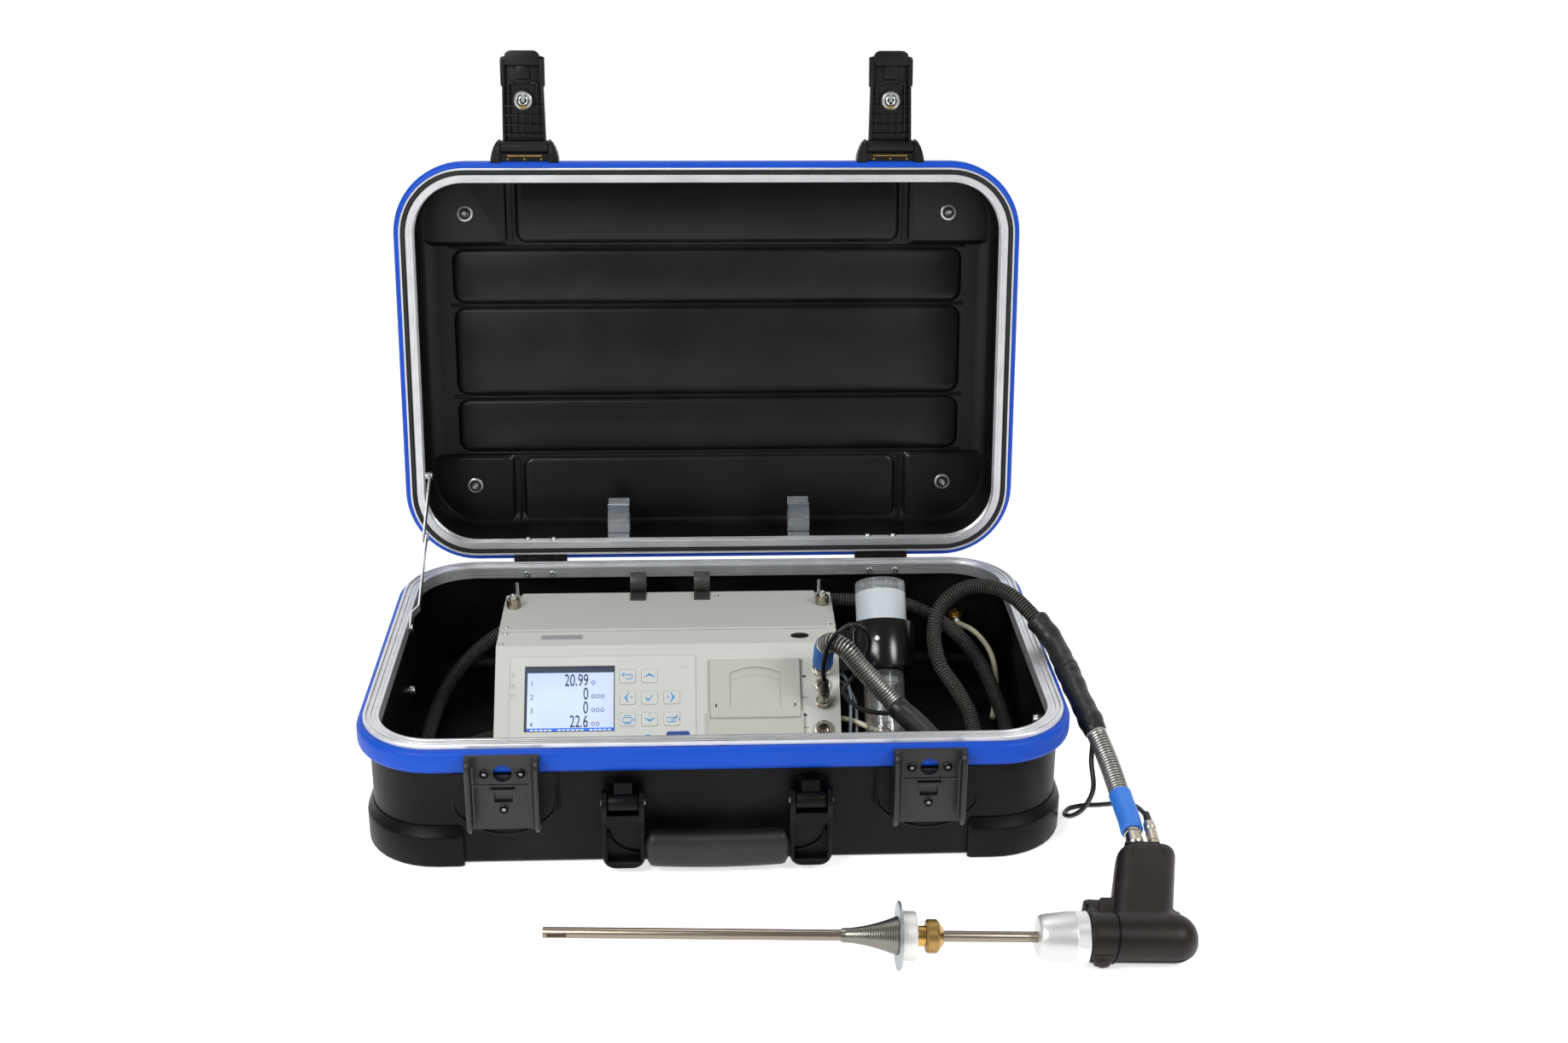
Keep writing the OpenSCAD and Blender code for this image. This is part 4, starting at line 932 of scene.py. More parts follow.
    def hose_fittings(self, front: Points, back: Points) -> list[Object]:
        """Sleeves, spring guards and plugs of the hose, from the socket to the grip."""
        blue_end, guard_end = self.reach(front, self.front_route[2]), self.reach(front, self.front_route[7])
        shrink_end = self.reach(front, self.front_route[10])
        out = [self.reach(back, self.back_route[k]) for k in (23, 27, 29, 31)]
        made = [self.sleeve("hose_socket_sleeve", front, 0, blue_end, self.fitting_r - 0.2, BLUE_SLEEVE, 0.3),
            self.spring("hose_socket_guard", front, blue_end - 4, guard_end + 2, self.fitting_r - 0.5),
            self.sleeve("hose_socket_shrink", front, guard_end - 6, shrink_end, self.fitting_r + 0.4, SHRINK,
            0.7), self.sleeve("hose_outer_shrink_upper", back, out[0], (out[0] + out[1]) / 2 + 4,
            self.fitting_r, SHRINK, 1.5), self.sleeve("hose_outer_shrink_lower", back,
            (out[0] + out[1]) / 2 - 4, out[1] + 4, self.fitting_r + 0.3, SHRINK, 1.5),
            self.spring("hose_outer_guard", back, out[1], out[2] + 2, self.fitting_r - 0.6),
            self.sleeve("hose_outer_sleeve", back, out[2] - 3, out[3] - 2, self.fitting_r - 0.2, BLUE_SLEEVE,
            0.4),]
        end = back[-1]
        made.append(self.plug("hose_grip_plug", [(-13, 5), (-13, 5.8), (-3, 5.8), (-3, 6.6), (1, 6.9),
            (1.6, 6.2), (6, 6.2), (6.6, 6.9), (12, 6.9), (13.5, 6), (13.5, 3)], end, self.grip_dir, NICKEL))
        socket_up = (Vector(self.front_route[1]) - Vector(self.front_route[0])).normalized()
        foot = Vector(self.front_route[0]) - socket_up * 3
        made.append(self.plug("hose_socket_plug", [(-9, 3), (-9, 6.3), (-2, 6.4), (-1, 5.6), (5, 5.6)], foot,
            socket_up, NICKEL))
        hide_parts("hose_fittings")
        return made

    def sensor_ends(self, path: Points) -> list[Object]:
        """The chrome plug at the analyser's sensor socket, and the small blue sleeve at the hose."""
        up = (path[3] - path[0]).normalized()
        plug = self.plug("sensor_plug", [(-8, 3), (-8, 4.6), (-3, 4.9), (-2, 4.4), (2, 4.4), (3, 4.9),
            (9, 4.9), (10.5, 4.2), (10.5, 2)], path[0] + up * 1.0, up, NICKEL)
        relief = self.plug("sensor_strain_relief", [(10, 2), (10, 3.7), (12, 3.9), (22, 3.0), (26, 2.4),
            (26, 1.5)], path[0], up, LEAD_PVC)
        length = path_length(path)
        tail = self.sleeve("sensor_lead_sleeve", path, length - 13, length - 1, self.lead_r + 1.4,
            BLUE_SLEEVE)
        return [plug, relief, tail]

    def probe_ends(self, path: Points) -> list[Object]:
        """The ribbed plug where the outer lead meets the grip."""
        back = (path[-4] - path[-1]).normalized()
        plug = self.plug("probe_lead_plug", [(-19, 2), (-19, 4.2), (-12, 4.2), (-12, 4.6), (-2, 4.8),
            (-1, 4.2), (1, 4.2), (2, 4.8), (8, 4.6), (9, 4.0), (9, 1.5)], path[-1], back, NICKEL)
        relief = self.plug("probe_lead_strain_relief", [(8, 2), (8, 3.6), (20, 2.6), (20, 1.5)], path[-1],
            back, LEAD_PVC)
        return [plug, relief]

    def inner_tubes(self) -> None:
        """Sampling tubes between the analyser, the filter and the case's right side."""
        runs = {"cream_tube_upper": (CREAM_TUBE, 2.6, [(232.5, 151, 53), (236, 143, 54), (243, 128, 56),
            (251, 112, 53), (257, 95, 46), (259, 78, 34), (257, 60, 20), (252, 42, 8)]),
            "cream_tube_lower": (CREAM_TUBE, 2.4, [(112, 4, 30), (120, 0, 30), (135, -8, 27), (152, -18, 22),
            (168, -30, 15), (182, -44, 8), (196, -60, 6.6)]), "grey_tube_upper": (GREY_TUBE, 1.5,
            [(109.5, 30, 62), (115, 22, 62), (119, 10, 54), (119, -4, 40), (118, -16, 24), (117, -28, 8),
            (116, -40, 5.6)]), "grey_tube_lower": (GREY_TUBE, 1.5,
            [(109.5, 40, 50), (117, 30, 50), (124, 16, 42), (125, 2, 30), (124, -10, 16), (123, -24, 5.8)]),}
        place = move(232.5, 168, 53) @ turn(-90, "Z")
        hexagon = Shape().extrude([(7.6 * cos(radians(60 * k)), 7.6 * sin(radians(60 * k)))
            for k in range(6)], 0, 8, place @ turn(90, "Y"))
        hexagon.lathe([(8, 0.2), (8, 5.6), (12, 5.2), (12, 0.2)], place, 28)
        self.shop.piece("rinse_port_brass", hexagon, BRASS, smooth=30)
        ball = Shape().lathe([(14.4 - 4.4 * cos(radians(15 * k)), max(0.05, 4.4 * sin(radians(15 * k))))
            for k in range(13)], place, 24)
        self.shop.piece("rinse_port_ball", ball, ZINC_STEEL, smooth=60)
        for name, (finish, radius, route) in runs.items():
            path = smooth_path(route, 3.0)
            tube = self.shop.piece(name, Shape().tube(path, radius, 12), finish)


# ---------------------------------------------------------------- hard case


@dataclass
class HardCase:
    """The moulded case: base and lid shells, frames, bumpers, guards, keepers, hinges and stay."""

    shop: Workshop
    corner_r: float = 60.0
    shell_in: float = 4.0
    wall: float = 3.0
    band: float = 4.0
    lid_angle: float = 97.0
    steps: int = 14

    def __post_init__(self) -> None:
        """Reads the case's driving sizes from the frame."""
        low, high = corners("base_rim")
        self.width, self.depth = high.x - low.x, high.y - low.y
        self.base_h = corners("base_bumper")[1].z + self.band
        self.bumper_h = corners("base_bumper")[1].z - corners("base_bumper")[0].z
        self.lid_h = 88.0
        self.front = -self.depth / 2 + self.shell_in
        self.hinge = Vector((0, self.depth / 2 + 4, self.base_h))
        self.open = (Matrix.Translation(self.hinge) @ turn(-self.lid_angle, "X")
            @ Matrix.Translation(-self.hinge))

    def outline(self, out: float, z: float) -> Points:
        """The case's outline, moved outward from the frame's outside, at a height."""
        flat = rounded_outline(self.width + 2 * out, self.depth + 2 * out, self.corner_r + out, self.steps)
        return [Vector((x, y, z)) for x, y in flat]

    def ring(self, profile: Profile) -> Shape:
        """Carries a profile of (outward, height) round the case."""
        levels = [self.outline(x, z) for x, z in profile]
        stations = [list(s) for s in zip(*levels)]
        return Shape().loft(stations, loop=True)

    def grooved(self, x: float, start: float, pitch: float, count: int, deep: float, down: float) -> Profile:
        """Small rounded grooves down a face of a profile.

        Args:
            x: where the face is.
            start: the height of the first groove.
            pitch: from one groove to the next.
            count: how many.
            deep: how deep, towards larger x.
            down: -1 when the face is drawn downwards, 1 upwards.

        Returns:
            The points of the grooves.
        """
        points: list[tuple[float, float]] = []
        for k in range(count):
            z = start + down * pitch * k
            points += [(x, z), (x + deep, z + down * 0.3), (x + deep, z + down * 0.8), (x, z + down * 1.1)]
        return points

    def build(self) -> None:
        """Makes the whole case."""
        self.base()
        self.frames()
        self.lid()
        self.guards()
        self.metalwork()

    def shell(self, low: float, high: float, edge: float, inner_edge: float, floor: float, up: bool) -> Shape:
        """A moulded tray with round edges, as one closed skin.

        Args:
            low: the height of its closed side.
            high: the height of its mouth.
            edge: the round of the outside edge.
            inner_edge: the round of the inside edge.
            floor: the thickness of the closed side.
            up: whether the mouth is above the closed side.

        Returns:
            The tray.
        """
        way = 1 if up else -1
        rings = []
        for x, z in arc(-self.shell_in - edge, edge, edge, -90, 0, 6):
            rings.append(self.outline(x, low + way * z))
        rings.append(self.outline(-self.shell_in, high))
        rings.append(self.outline(-self.shell_in - self.wall, high))
        inside = -self.shell_in - self.wall
        for x, z in arc(inside - inner_edge, floor + inner_edge, inner_edge, 0, -90, 7):
            rings.append(self.outline(x, low + way * z))
        return Shape().loft(rings)

    def base(self) -> None:
        """The base shell with its latch pads, and what is seen inside it."""
        shell = self.shell(0, self.base_h - self.band, 5, 12, 4, True)
        top = self.base_h - self.band - self.bumper_h
        for x in (-165, 165):
            pad = [(39, top), (39, 52), *arc(0, 78, 47, -34, -146, 14), (-39, 52), (-39, top)]
            for out, grow in ((6, 0.0), (4.4, 1.6), (2, 3.4)):
                wide = [(a * (1 + grow / 39), b if b == top else b - grow * 0.8) for a, b in pad]
                shell.extrude(wide[::-1], 0, out, move(x, self.front, 0) @ FACING)
            bead = [Vector((x + a, self.front - 5.0, b)) for a, b in pad[:-1]]
            shell.tube(smooth_path([(x + 38.6, self.front - 2, top - 0.5), *bead[1:-1],
                (x - 38.6, self.front - 2, top - 0.5)], 2.0), 1.9, 10)
        shell.uvs = None
        self.shop.piece("base_shell_moulding", shell, BLACK_ABS, replaces=("base_shell",), smooth=40)
        keeper = MouldedPlastic("glass_filled_black_nylon", "#111112", 0.34, grain=0.5, depth=0.02,
            slot="black_moulding")
        self.shop.dress("latch_keepers", keeper, 0.7)
        self.keeper_rails(keeper)

    def keeper_rails(self, finish: Finish) -> None:
        """Rounded rails down both sides of each keeper, and the ledge round its plate."""
        low, high = corners("latch_keepers")
        front, top, bottom = low.y, high.z, low.z
        shape = Shape()
        for x in (-165, 165):
            for side in (-1, 1):
                outer = x + side * 28.5
                line = [Vector((outer - side * 2.4, front - 0.2 + 7 * (1 - cos(a)), top - 1 - 9 + 9 * sin(a)))
                    for a in [radians(10 * k) for k in range(9, -1, -1)]]
                line += [Vector((outer - side * 2.4, front - 0.2, z)) for z in (top - 24, top - 40,
                    bottom + 10)]
                line += [Vector((outer - side * 2.4, front + 5 * (1 - cos(a)), bottom + 10 - 8 * sin(a)))
                    for a in [radians(15 * k) for k in range(1, 6)]]
                shape.tube(line, 2.3, 12)
                shape.block((outer - side * 6.6 - 0.6, front - 0.9, bottom + 6),
                    (outer - side * 6.6 + 0.6, front + 1, top - 4))
            shape.block((x - 22, front - 0.8, 82.4), (x + 22, front + 1, 83.6))
            shape.block((x - 10.5, front - 0.7, 73), (x - 9.7, front + 1, 80.4))
            shape.block((x + 9.7, front - 0.7, 73), (x + 10.5, front + 1, 80.4))
        shape.uvs = None
        self.shop.piece("latch_keeper_rails", shape, finish, smooth=45)
        rings = Shape()
        for x in (-165, 165):
            for dx, z in ((-14, 88), (14, 88), (0, 57)):
                rings.lathe([(1.4, 1.5), (1.4, 3.5), (2.1, 3.3), (2.5, 2.4), (2.3, 1.5)],
                    move(x + dx, self.front - 12.5, z) @ turn(-90, "Z"), 20, closed=True)
        self.shop.piece("latch_keeper_screw_rims", rings, BLACK_STEEL, smooth=30)

    def frames(self) -> None:
        """The bright frames, the blue bumpers and the lid's seal."""
        z = self.base_h
        inner = self.grooved(-13, -2.4, 2.3, 4, 0.5, -1)
        base = [(0, -4), (0, -0.8), (-0.4, -0.3), (-2.2, -0.3), (-2.5, -0.6), (-2.5, -1.6), (-4, -1.6),
            (-4, -1.1), (-4.3, -0.8), (-6.2, -0.8), (-6.5, -1.1), (-6.5, -1.6), (-8, -1.6), (-8, -1.4),
            (-8.3, -1.2), (-9.6, -1.2), (-9.8, -1.5), (-10.4, -1.5), (-10.6, -1.2), (-12.5, -1.2),
            (-13, -1.7), *inner, (-13, -12), (-11, -12), (-11, -4)]
        lid_inner = self.grooved(-13, 10.4, 2.3, 4, 0.5, -1)
        lid = [(0, 4), (-11, 4), (-11, 12), (-13, 12), *lid_inner, (-13, 0.9), (-12.5, 0.3), (-10.7, 0.3),
            (-10.5, 0.6), (-9.9, 0.6), (-9.7, 0.3), (-6.4, 0.3), (-6, 0.7), (-6, 3), (-1.8, 3), (-1.8, 0.7),
            (-1.5, 0.3), (-0.4, 0.3), (0, 0.8)]
        self.shop.piece("base_frame", self.ring([(x, z + h) for x, h in base]), FRAME_ALUMINIUM,
            replaces=("base_rim",), smooth=25)
        self.shop.piece("lid_frame", self.ring([(x, z + h) for x, h in lid]).placed(self.open),
            FRAME_ALUMINIUM, "lid", ("lid_rim",), smooth=25)
        seal = [(-1.8, 3), (-1.9, 1.6), *arc(-3.9, 1.6, 1.2, 0, -180, 8), (-6, 1.6), (-6, 3)]
        self.shop.piece("lid_rubber_seal", self.ring([(x, z + h) for x, h in seal]).placed(self.open),
            SEAL_RUBBER, "lid", ("lid_seal",), smooth=50)
        for name, way, place, body in (("base", -1, Matrix(), "case_base"), ("lid", 1, self.open, "lid")):
            shape = self.ring([(x, z + way * h) for x, h in self.bumper()]).placed(place)
            self.shop.piece(name + "_soft_bumper", shape, BLUE_BUMPER, body, (name + "_bumper",), smooth=50)

    def bumper(self) -> Profile:
        """Section of the bumper: (outward, distance from the joint)."""
        out, near, far = 5.5, self.band, self.band + self.bumper_h
        return [(-self.shell_in, near), (-1.2, near), (-0.6, near + 0.4), (0.2, near + 0.1),
            *arc(out - 5, near + 5, 5, -80, -10, 6), *arc(out - 7, far - 7, 7, 8, 84, 7),
            (-self.shell_in, far)]

    def lid(self) -> None:
        """The lid shell with its pressed bands and corner pads."""
        top = self.base_h + self.lid_h
        ceiling = top - self.wall
        shell = self.shell(top, self.base_h + self.band, 12, 16, self.wall, False)
        inner_x = self.width / 2 - self.shell_in - self.wall
        inner_y = self.depth / 2 - self.shell_in - self.wall
        bands = Shape()
        for y, tall, wide in ((0, 77, 478), (72.3, 43.5, 478), (-72.3, 43.5, 478), (138, 60, 356),
                (-138, 60, 356)):
            levels = []
            for grow, z in ((4.2, 0), (3.2, 1.1), (1.6, 2.2), (0, 2.8)):
                flat = rounded_outline(wide + 2 * grow, tall + 2 * grow, 7 + grow, 5)
                levels.append([Vector((a, y + b, ceiling - z)) for a, b in flat])
            bands.loft(levels)
        for y in (-100, -44.6, 44.6, 100):
            bands.loft([[Vector((x, y + a, ceiling + 0.6 - h)) for a, h in ((-1.8, 0), (-1.1, 2.2), (0, 2.8),
                (1.1, 2.2), (1.8, 0))] for x in (-246, -240, 240, 246)])
        for x in (-186, 186):
            for y in (-1, 1):
                near, far = sorted((y * 106, y * (inner_y - 5)))
                bands.block((x - 0.9, near, ceiling - 4), (x + 0.9, far, ceiling + 0.5))
        for sx in (-1, 1):
            for sy in (-1, 1):
                self.corner_pad(bands, sx, sy, inner_x, inner_y, ceiling)
        self.shop.piece("lid_shell_forming", shell.placed(self.open), LID_LINING, "lid", ("lid_shell",),
            smooth=40)
        self.shop.piece("lid_pressed_bands", bands.placed(self.open), LID_LINING, "lid", smooth=40)
        washers = Shape()
        for x in (-229, 229):
            for y in (-132, 132):
                washers.lathe([(0, 5.2), (0, 7.8), (0.8, 7.6), (1.2, 6.8), (1.2, 5.8), (0.6, 5.2)],
                    move(x, y, ceiling - 4.2) @ turn(90, "Y"), 32, closed=True)
                washers.lathe([(0, 0.2), (0, 3.6), (1.6, 3.4), (2.6, 2.4), (2.2, 1.8), (1.6, 1.4),
                    (1.6, 0.2)], move(x, y, ceiling - 4.2) @ turn(90, "Y"), 24)
        self.shop.piece("lid_pad_washers", washers.placed(self.open), ZINC_STEEL, "lid", smooth=30)

    def corner_pad(self, shape: Shape, sx: int, sy: int, inner_x: float, inner_y: float,
            ceiling: float) -> None:
        """A raised pad in one corner of the lid, stepped down to the middle.

        Args:
            shape: where it is added.
            sx, sy: which corner.
            inner_x, inner_y: half the lid's inside.
            ceiling: the height of the lid's inside.
        """
        near_x, near_y = 195, 106
        far_x, far_y = inner_x - 3, inner_y - 3
        levels = []
        for grow, z in ((5.0, 0.3), (3.6, 1.6), (1.4, 3.6), (0, 4.2)):
            x0, y0 = near_x - grow, near_y - grow
            flat = [(x0 + 4, y0), *arc(x0 + 4, y0 + 4, 4, 270, 180, 4), (x0, far_y),
                *arc(far_x - 48, far_y - 48, 48, 90, 0, 8), (far_x, y0)]
            levels.append([Vector((sx * p, sy * q, ceiling - z)) for p, q in flat])
        shape.loft(levels)

    def guards(self) -> None:
        """Corner guards with a bevelled upper face, run a little way along each side."""
        top, run, out = 36, 22, 1.5
        back = -self.shell_in
        profile = [(back, 0), (out - 4, 0), *arc(out - 3, 3, 3, -90, 0, 4), (out, top - 10),
            (out - 0.4, top - 8.6), (out - 1, top - 8), (back + 0.9, top - 0.6), (back, top - 0.6)]
        shape = Shape()
        cx, cy = self.width / 2 - self.corner_r, self.depth / 2 - self.corner_r
        for sx in (-1, 1):
            for sy in (-1, 1):
                stations = [((cx - run + 1.2, cy + self.corner_r), (0, 1), 0.0),
                    ((cx - run + 4, cy + self.corner_r), (0, 1), 1.0)]
                for k in range(11):
                    a = radians(90 - 9 * k)
                    stations.append(((cx + self.corner_r * cos(a), cy + self.corner_r * sin(a)),
                        (cos(a), sin(a)), 1.0))
                stations += [((cx + self.corner_r, cy - run + 4), (1, 0), 1.0),
                    ((cx + self.corner_r, cy - run + 1.2), (1, 0), 0.0)]
                rings = []
                for (x, y), (nx, ny), full in stations:
                    less = (1 - full) * 1.6
                    rings.append(
                        [Vector((sx * (x + nx * (max(back, o - less))), sy * (y + ny * (max(back, o - less))),
                        h if h < top - 4 else h - less)) for o, h in profile])
                shape.loft(rings)
        self.shop.piece("corner_guard_mouldings", shape, BLACK_ABS, replaces=("corner_guards",), smooth=30)

    def metalwork(self) -> None:
        """Hinges, stay, screws, washers and the lid's probe clips."""
        for node in ("base_hinges", "lid_hinges"):
            self.shop.dress(node, BLACK_STEEL, 0.4)
        for node in ("base_fasteners", "lid_fasteners", "stay_lower_arm", "stay_upper_arm"):
            self.shop.dress(node, ZINC_STEEL, 0.2)
        self.shop.dress("probe_clips", SPRING_STEEL, 0.2)
        self.shop.dress("mounting_brackets", BLACK_STEEL)
        self.rivets()

    def rivets(self) -> None:
        """Small screws round the walls of the lid, where the shell meets the frame."""
        shape = Shape()
        head = [(0, 0.2), (0, 2.6), (1.0, 2.4), (1.7, 1.4), (1.2, 1.2), (1.2, 0.2)]
        inner_y = self.depth / 2 - self.shell_in - self.wall
        inner_x = self.width / 2 - self.shell_in - self.wall
        for x in (-209, -168.5, -142.6, -121.5, 127.5, 145.6, 171, 208):
            shape.lathe(head, move(x, inner_y, self.base_h + 26) @ turn(-90, "Z"), 16)
        for x, y in ((-inner_x, -120), (inner_x, -121), (inner_x, 106)):
            shape.lathe(head, move(x, y, self.base_h + 26) @ turn(0 if x < 0 else 180, "Z"), 16)
        self.shop.piece("lid_wall_screws", shape.placed(self.open), ZINC_STEEL, "lid", smooth=30)


# ---------------------------------------------------------------- latches and handle


@dataclass
class Latches:
    """Two folding latches on the lid, each with a ribbed lever and a key lock."""

    shop: Workshop
    case: HardCase
    x: float = 165.0
    lever_len: float = 84.0
    root_w: float = 43.0
    tip_w: float = 38.0
    thick: float = 8.0
    lock_r: float = 8.0

    def __post_init__(self) -> None:
        """Places the latch's pin from the case."""
        self.pin_y = -self.case.depth / 2 - 5.5 - 12.5
        self.pin_z = self.case.base_h + 13
        self.low = self.pin_z - 1
        self.lock_y = self.pin_y - 41

    def build(self) -> None:
        """Makes both latches."""
        for side, name in ((-1, "left"), (1, "right")):
            place = self.case.open @ move(side * self.x, 0, 0)
            self.lever(name, place)
            self.lock(name, place)
            self.base_details(name, place)

    def lever(self, name: str, place: Matrix) -> None:
        """The lever: a ribbed tray with rails, a solid tip with a catch, and a round root."""
        tip, half, low, top = self.pin_y - self.lever_len, self.root_w / 2, self.low, self.low + self.thick
        shape = Shape()
        shape.lathe([(-half, 3.2), (-half, 5.4), (-half + 0.6, 6), (half - 0.6, 6), (half, 5.4), (half, 3.2)],
            move(0, self.pin_y, self.pin_z), 32)
        end = self.tip_w / 2 + 0.6
        back = [(half - 2, self.pin_y), (-half + 2, self.pin_y), (-end + 1.2, tip + 32), (-end, tip + 30),
            (-end, tip + 6), (-end + 1, tip + 5), (-end + 4, tip + 4.4), *arc(-end + 10, tip + 6, 6, 200, 262,
            5), *arc(end - 10, tip + 6, 6, -82, -20, 5), (end - 4, tip + 4.4), (end - 1, tip + 5),
            (end, tip + 6), (end, tip + 30), (end - 1.2, tip + 32)]
        shape.extrude(back, low + 4.4, top)
        for s in (-1, 1):
            rail = [(end - 3.4, tip + 30), (end - 1.2, tip + 30), (half - 2.2, self.pin_y - 4),
                (half - 4.6, self.pin_y - 4)]
            shape.extrude([(s * a, b) for a, b in rail][::s], low, low + 5)
            shape.block((s * (end - 2) - 2, tip + 7, low - 0.2), (s * (end - 2) + 2, tip + 30, low + 5))
            shape.block((s * 10.5 - 3.2, tip + 27, low + 0.4), (s * 10.5 + 3.2, tip + 29, low + 5))
        shape.block((-6, tip + 25.6, low + 0.2), (6, tip + 27.4, low + 5))
        cap = [(-15.5, tip + 12), *arc(-9, tip + 6.8, 7.4, 215, 262, 5), *arc(9, tip + 6.8, 7.4, -82, -35, 5),
            (15.5, tip + 12)]
        shape.extrude(cap, low - 1.4, low + 5)
        shape.extrude([(-6, tip + 24), (-6, tip + 17), *arc(0, tip + 17, 6, 200, 340, 6), (6, tip + 17),
            (6, tip + 24)], low + 1.6, low + 5)
        self.ribs(shape, tip, half)
        shape.extrude(arc(0, self.lock_y, self.lock_r + 1.6, 0, 360, 28)[:-1], low + 1.2, low + 5)
        bm = shape.bmesh()
        soften(bm, 0.35, 50)
        bmesh.ops.transform(bm, matrix=place, verts=bm.verts)
        self.shop.piece(f"latch_lever_{name}_moulding", bm, LATCH_NYLON, f"latch_{name}",
            (f"latch_lever_{name}",), smooth=30)

    def ribs(self, shape: Shape, tip: float, half: float) -> None:
        """Thin ribs across and along the lever's hollow side."""
        low = self.low
        for k in range(4):
            y = self.pin_y - 11 - 8.4 * k
            shape.block((-half + 4, y - 0.45, low + 0.6), (half - 4, y + 0.45, low + 5))
        for y in (self.lock_y - 4, self.lock_y + 5):
            for s in (-1, 1):
                near, far = sorted((s * 9.4, s * (half - 4)))
                shape.block((near, y - 0.45, low + 0.6), (far, y + 0.45, low + 5))
        for x in (-12.6, -6.3, 0, 6.3, 12.6):
            end = self.lock_y + 11 if abs(x) < 10 else tip + 28
            shape.block((x - 0.45, end, low + 0.6), (x + 0.45, self.pin_y - 10, low + 5))

    def lock(self, name: str, place: Matrix) -> None:
        """The lock's bright barrel, seen from inside: a sprung ring round the plug."""
        at = place @ move(0, self.lock_y, 0) @ turn(-90, "Y")
        low, top = self.low, self.low + self.thick
        ring = Shape().lathe([(low - 1.2, 5.4), (low - 1.6, 5.9), (low - 1.6, 7.2), (low - 1.2, 7.9),
            (top - 0.2, 7.9), (top, 8.6), (top + 1, 8.6), (top + 1.3, 8), (top + 1.3, 0.8), (low + 1.4, 0.8),
            (low + 1.4, 5.4)], at, 40, closed=True)
        self.shop.piece(f"lock_{name}_shell", ring, ZINC_STEEL, f"lock_{name}", (f"lock_barrel_{name}",),
            smooth=25)
        inner = Shape()
        clip = [Vector((3.7 * cos(a), self.lock_y + 3.7 * sin(a), low - 0.2))
            for a in [radians(-60 + 300 * k / 24) for k in range(25)]]
        inner.tube(clip, 0.8, 8)
        inner.uvs = None
        inner.block((-1.5, self.lock_y - 7, low - 1.5), (1.5, self.lock_y + 1.5, low + 1.5))
        self.shop.piece(f"lock_{name}_plug", inner.placed(place), ZINC_STEEL, f"lock_{name}", smooth=30)
        tab = Shape().extrude([(-2.4, 4.4), (2.4, 4.4), *arc(0, 3, 4.6, 60, 120, 4)], low - 1.9, low - 1.3,
            move(0, self.lock_y, 0))
        self.shop.piece(f"lock_{name}_stop", tab.placed(place), BRASS, f"lock_{name}", smooth=30)
        # A thin black block on the barrel's face stands in for the key slot: painted shade.
        slot = Shape().block((-0.8, self.lock_y - 4, top + 1.2), (0.8, self.lock_y + 4, top + 1.45))
        self.shop.piece(f"lock_{name}_keyway_shade", slot.placed(place), BLACK_STEEL, f"lock_{name}")

    def base_details(self, name: str, place: Matrix) -> None:
        """The base's rounded shoulders and the block between them, with its wire and three small rivets."""
        front = -self.case.depth / 2 - 5.5
        z0 = self.case.base_h
        shape = Shape()
        side_view = [(front + 1, z0 + 5.6), (front + 1, z0 + 22), (self.pin_y + 3, z0 + 22),
            *arc(self.pin_y + 1, z0 + 14, 8, 90, 250, 8), (front - 3, z0 + 5.6)]
        for s in (-1, 1):
            rings = []
            for x, low in ((21.9, 0.0), (23.4, 0.4), (25.4, 2.8), (27.4, 6.6), (29.2, 11.4), (30.4, 16.6)):
                rings.append([Vector((s * x, max(y, self.pin_y - 7 + low), z)) for y, z in side_view])
            shape.loft(rings)
        shape.block((-22, front - 7, z0 + 9), (22, front + 1, z0 + 20))
        bm = shape.bmesh()
        soften(bm, 0.4, 50)
        bmesh.ops.transform(bm, matrix=place, verts=bm.verts)
        self.shop.piece(f"latch_base_{name}_shoulders", bm, LATCH_NYLON, "lid",
            ("latch_bases",) if name == "left" else (), smooth=40)
        wire = Shape().tube([Vector((-15.5, front - 5, z0 + 9)), Vector((15.5, front - 5, z0 + 9))], 0.7, 8)
        wire.uvs = None
        for x in (-15, 0, 15):
            wire.lathe([(0, 0.3), (0, 1.2), (0.8, 0.9), (0.8, 0.3)], move(x, front - 2, z0 + 9) @ turn(90,
                "Y"), 14)
        self.shop.piece(f"latch_base_{name}_wire", wire.placed(place), BRASS, "lid", smooth=30)


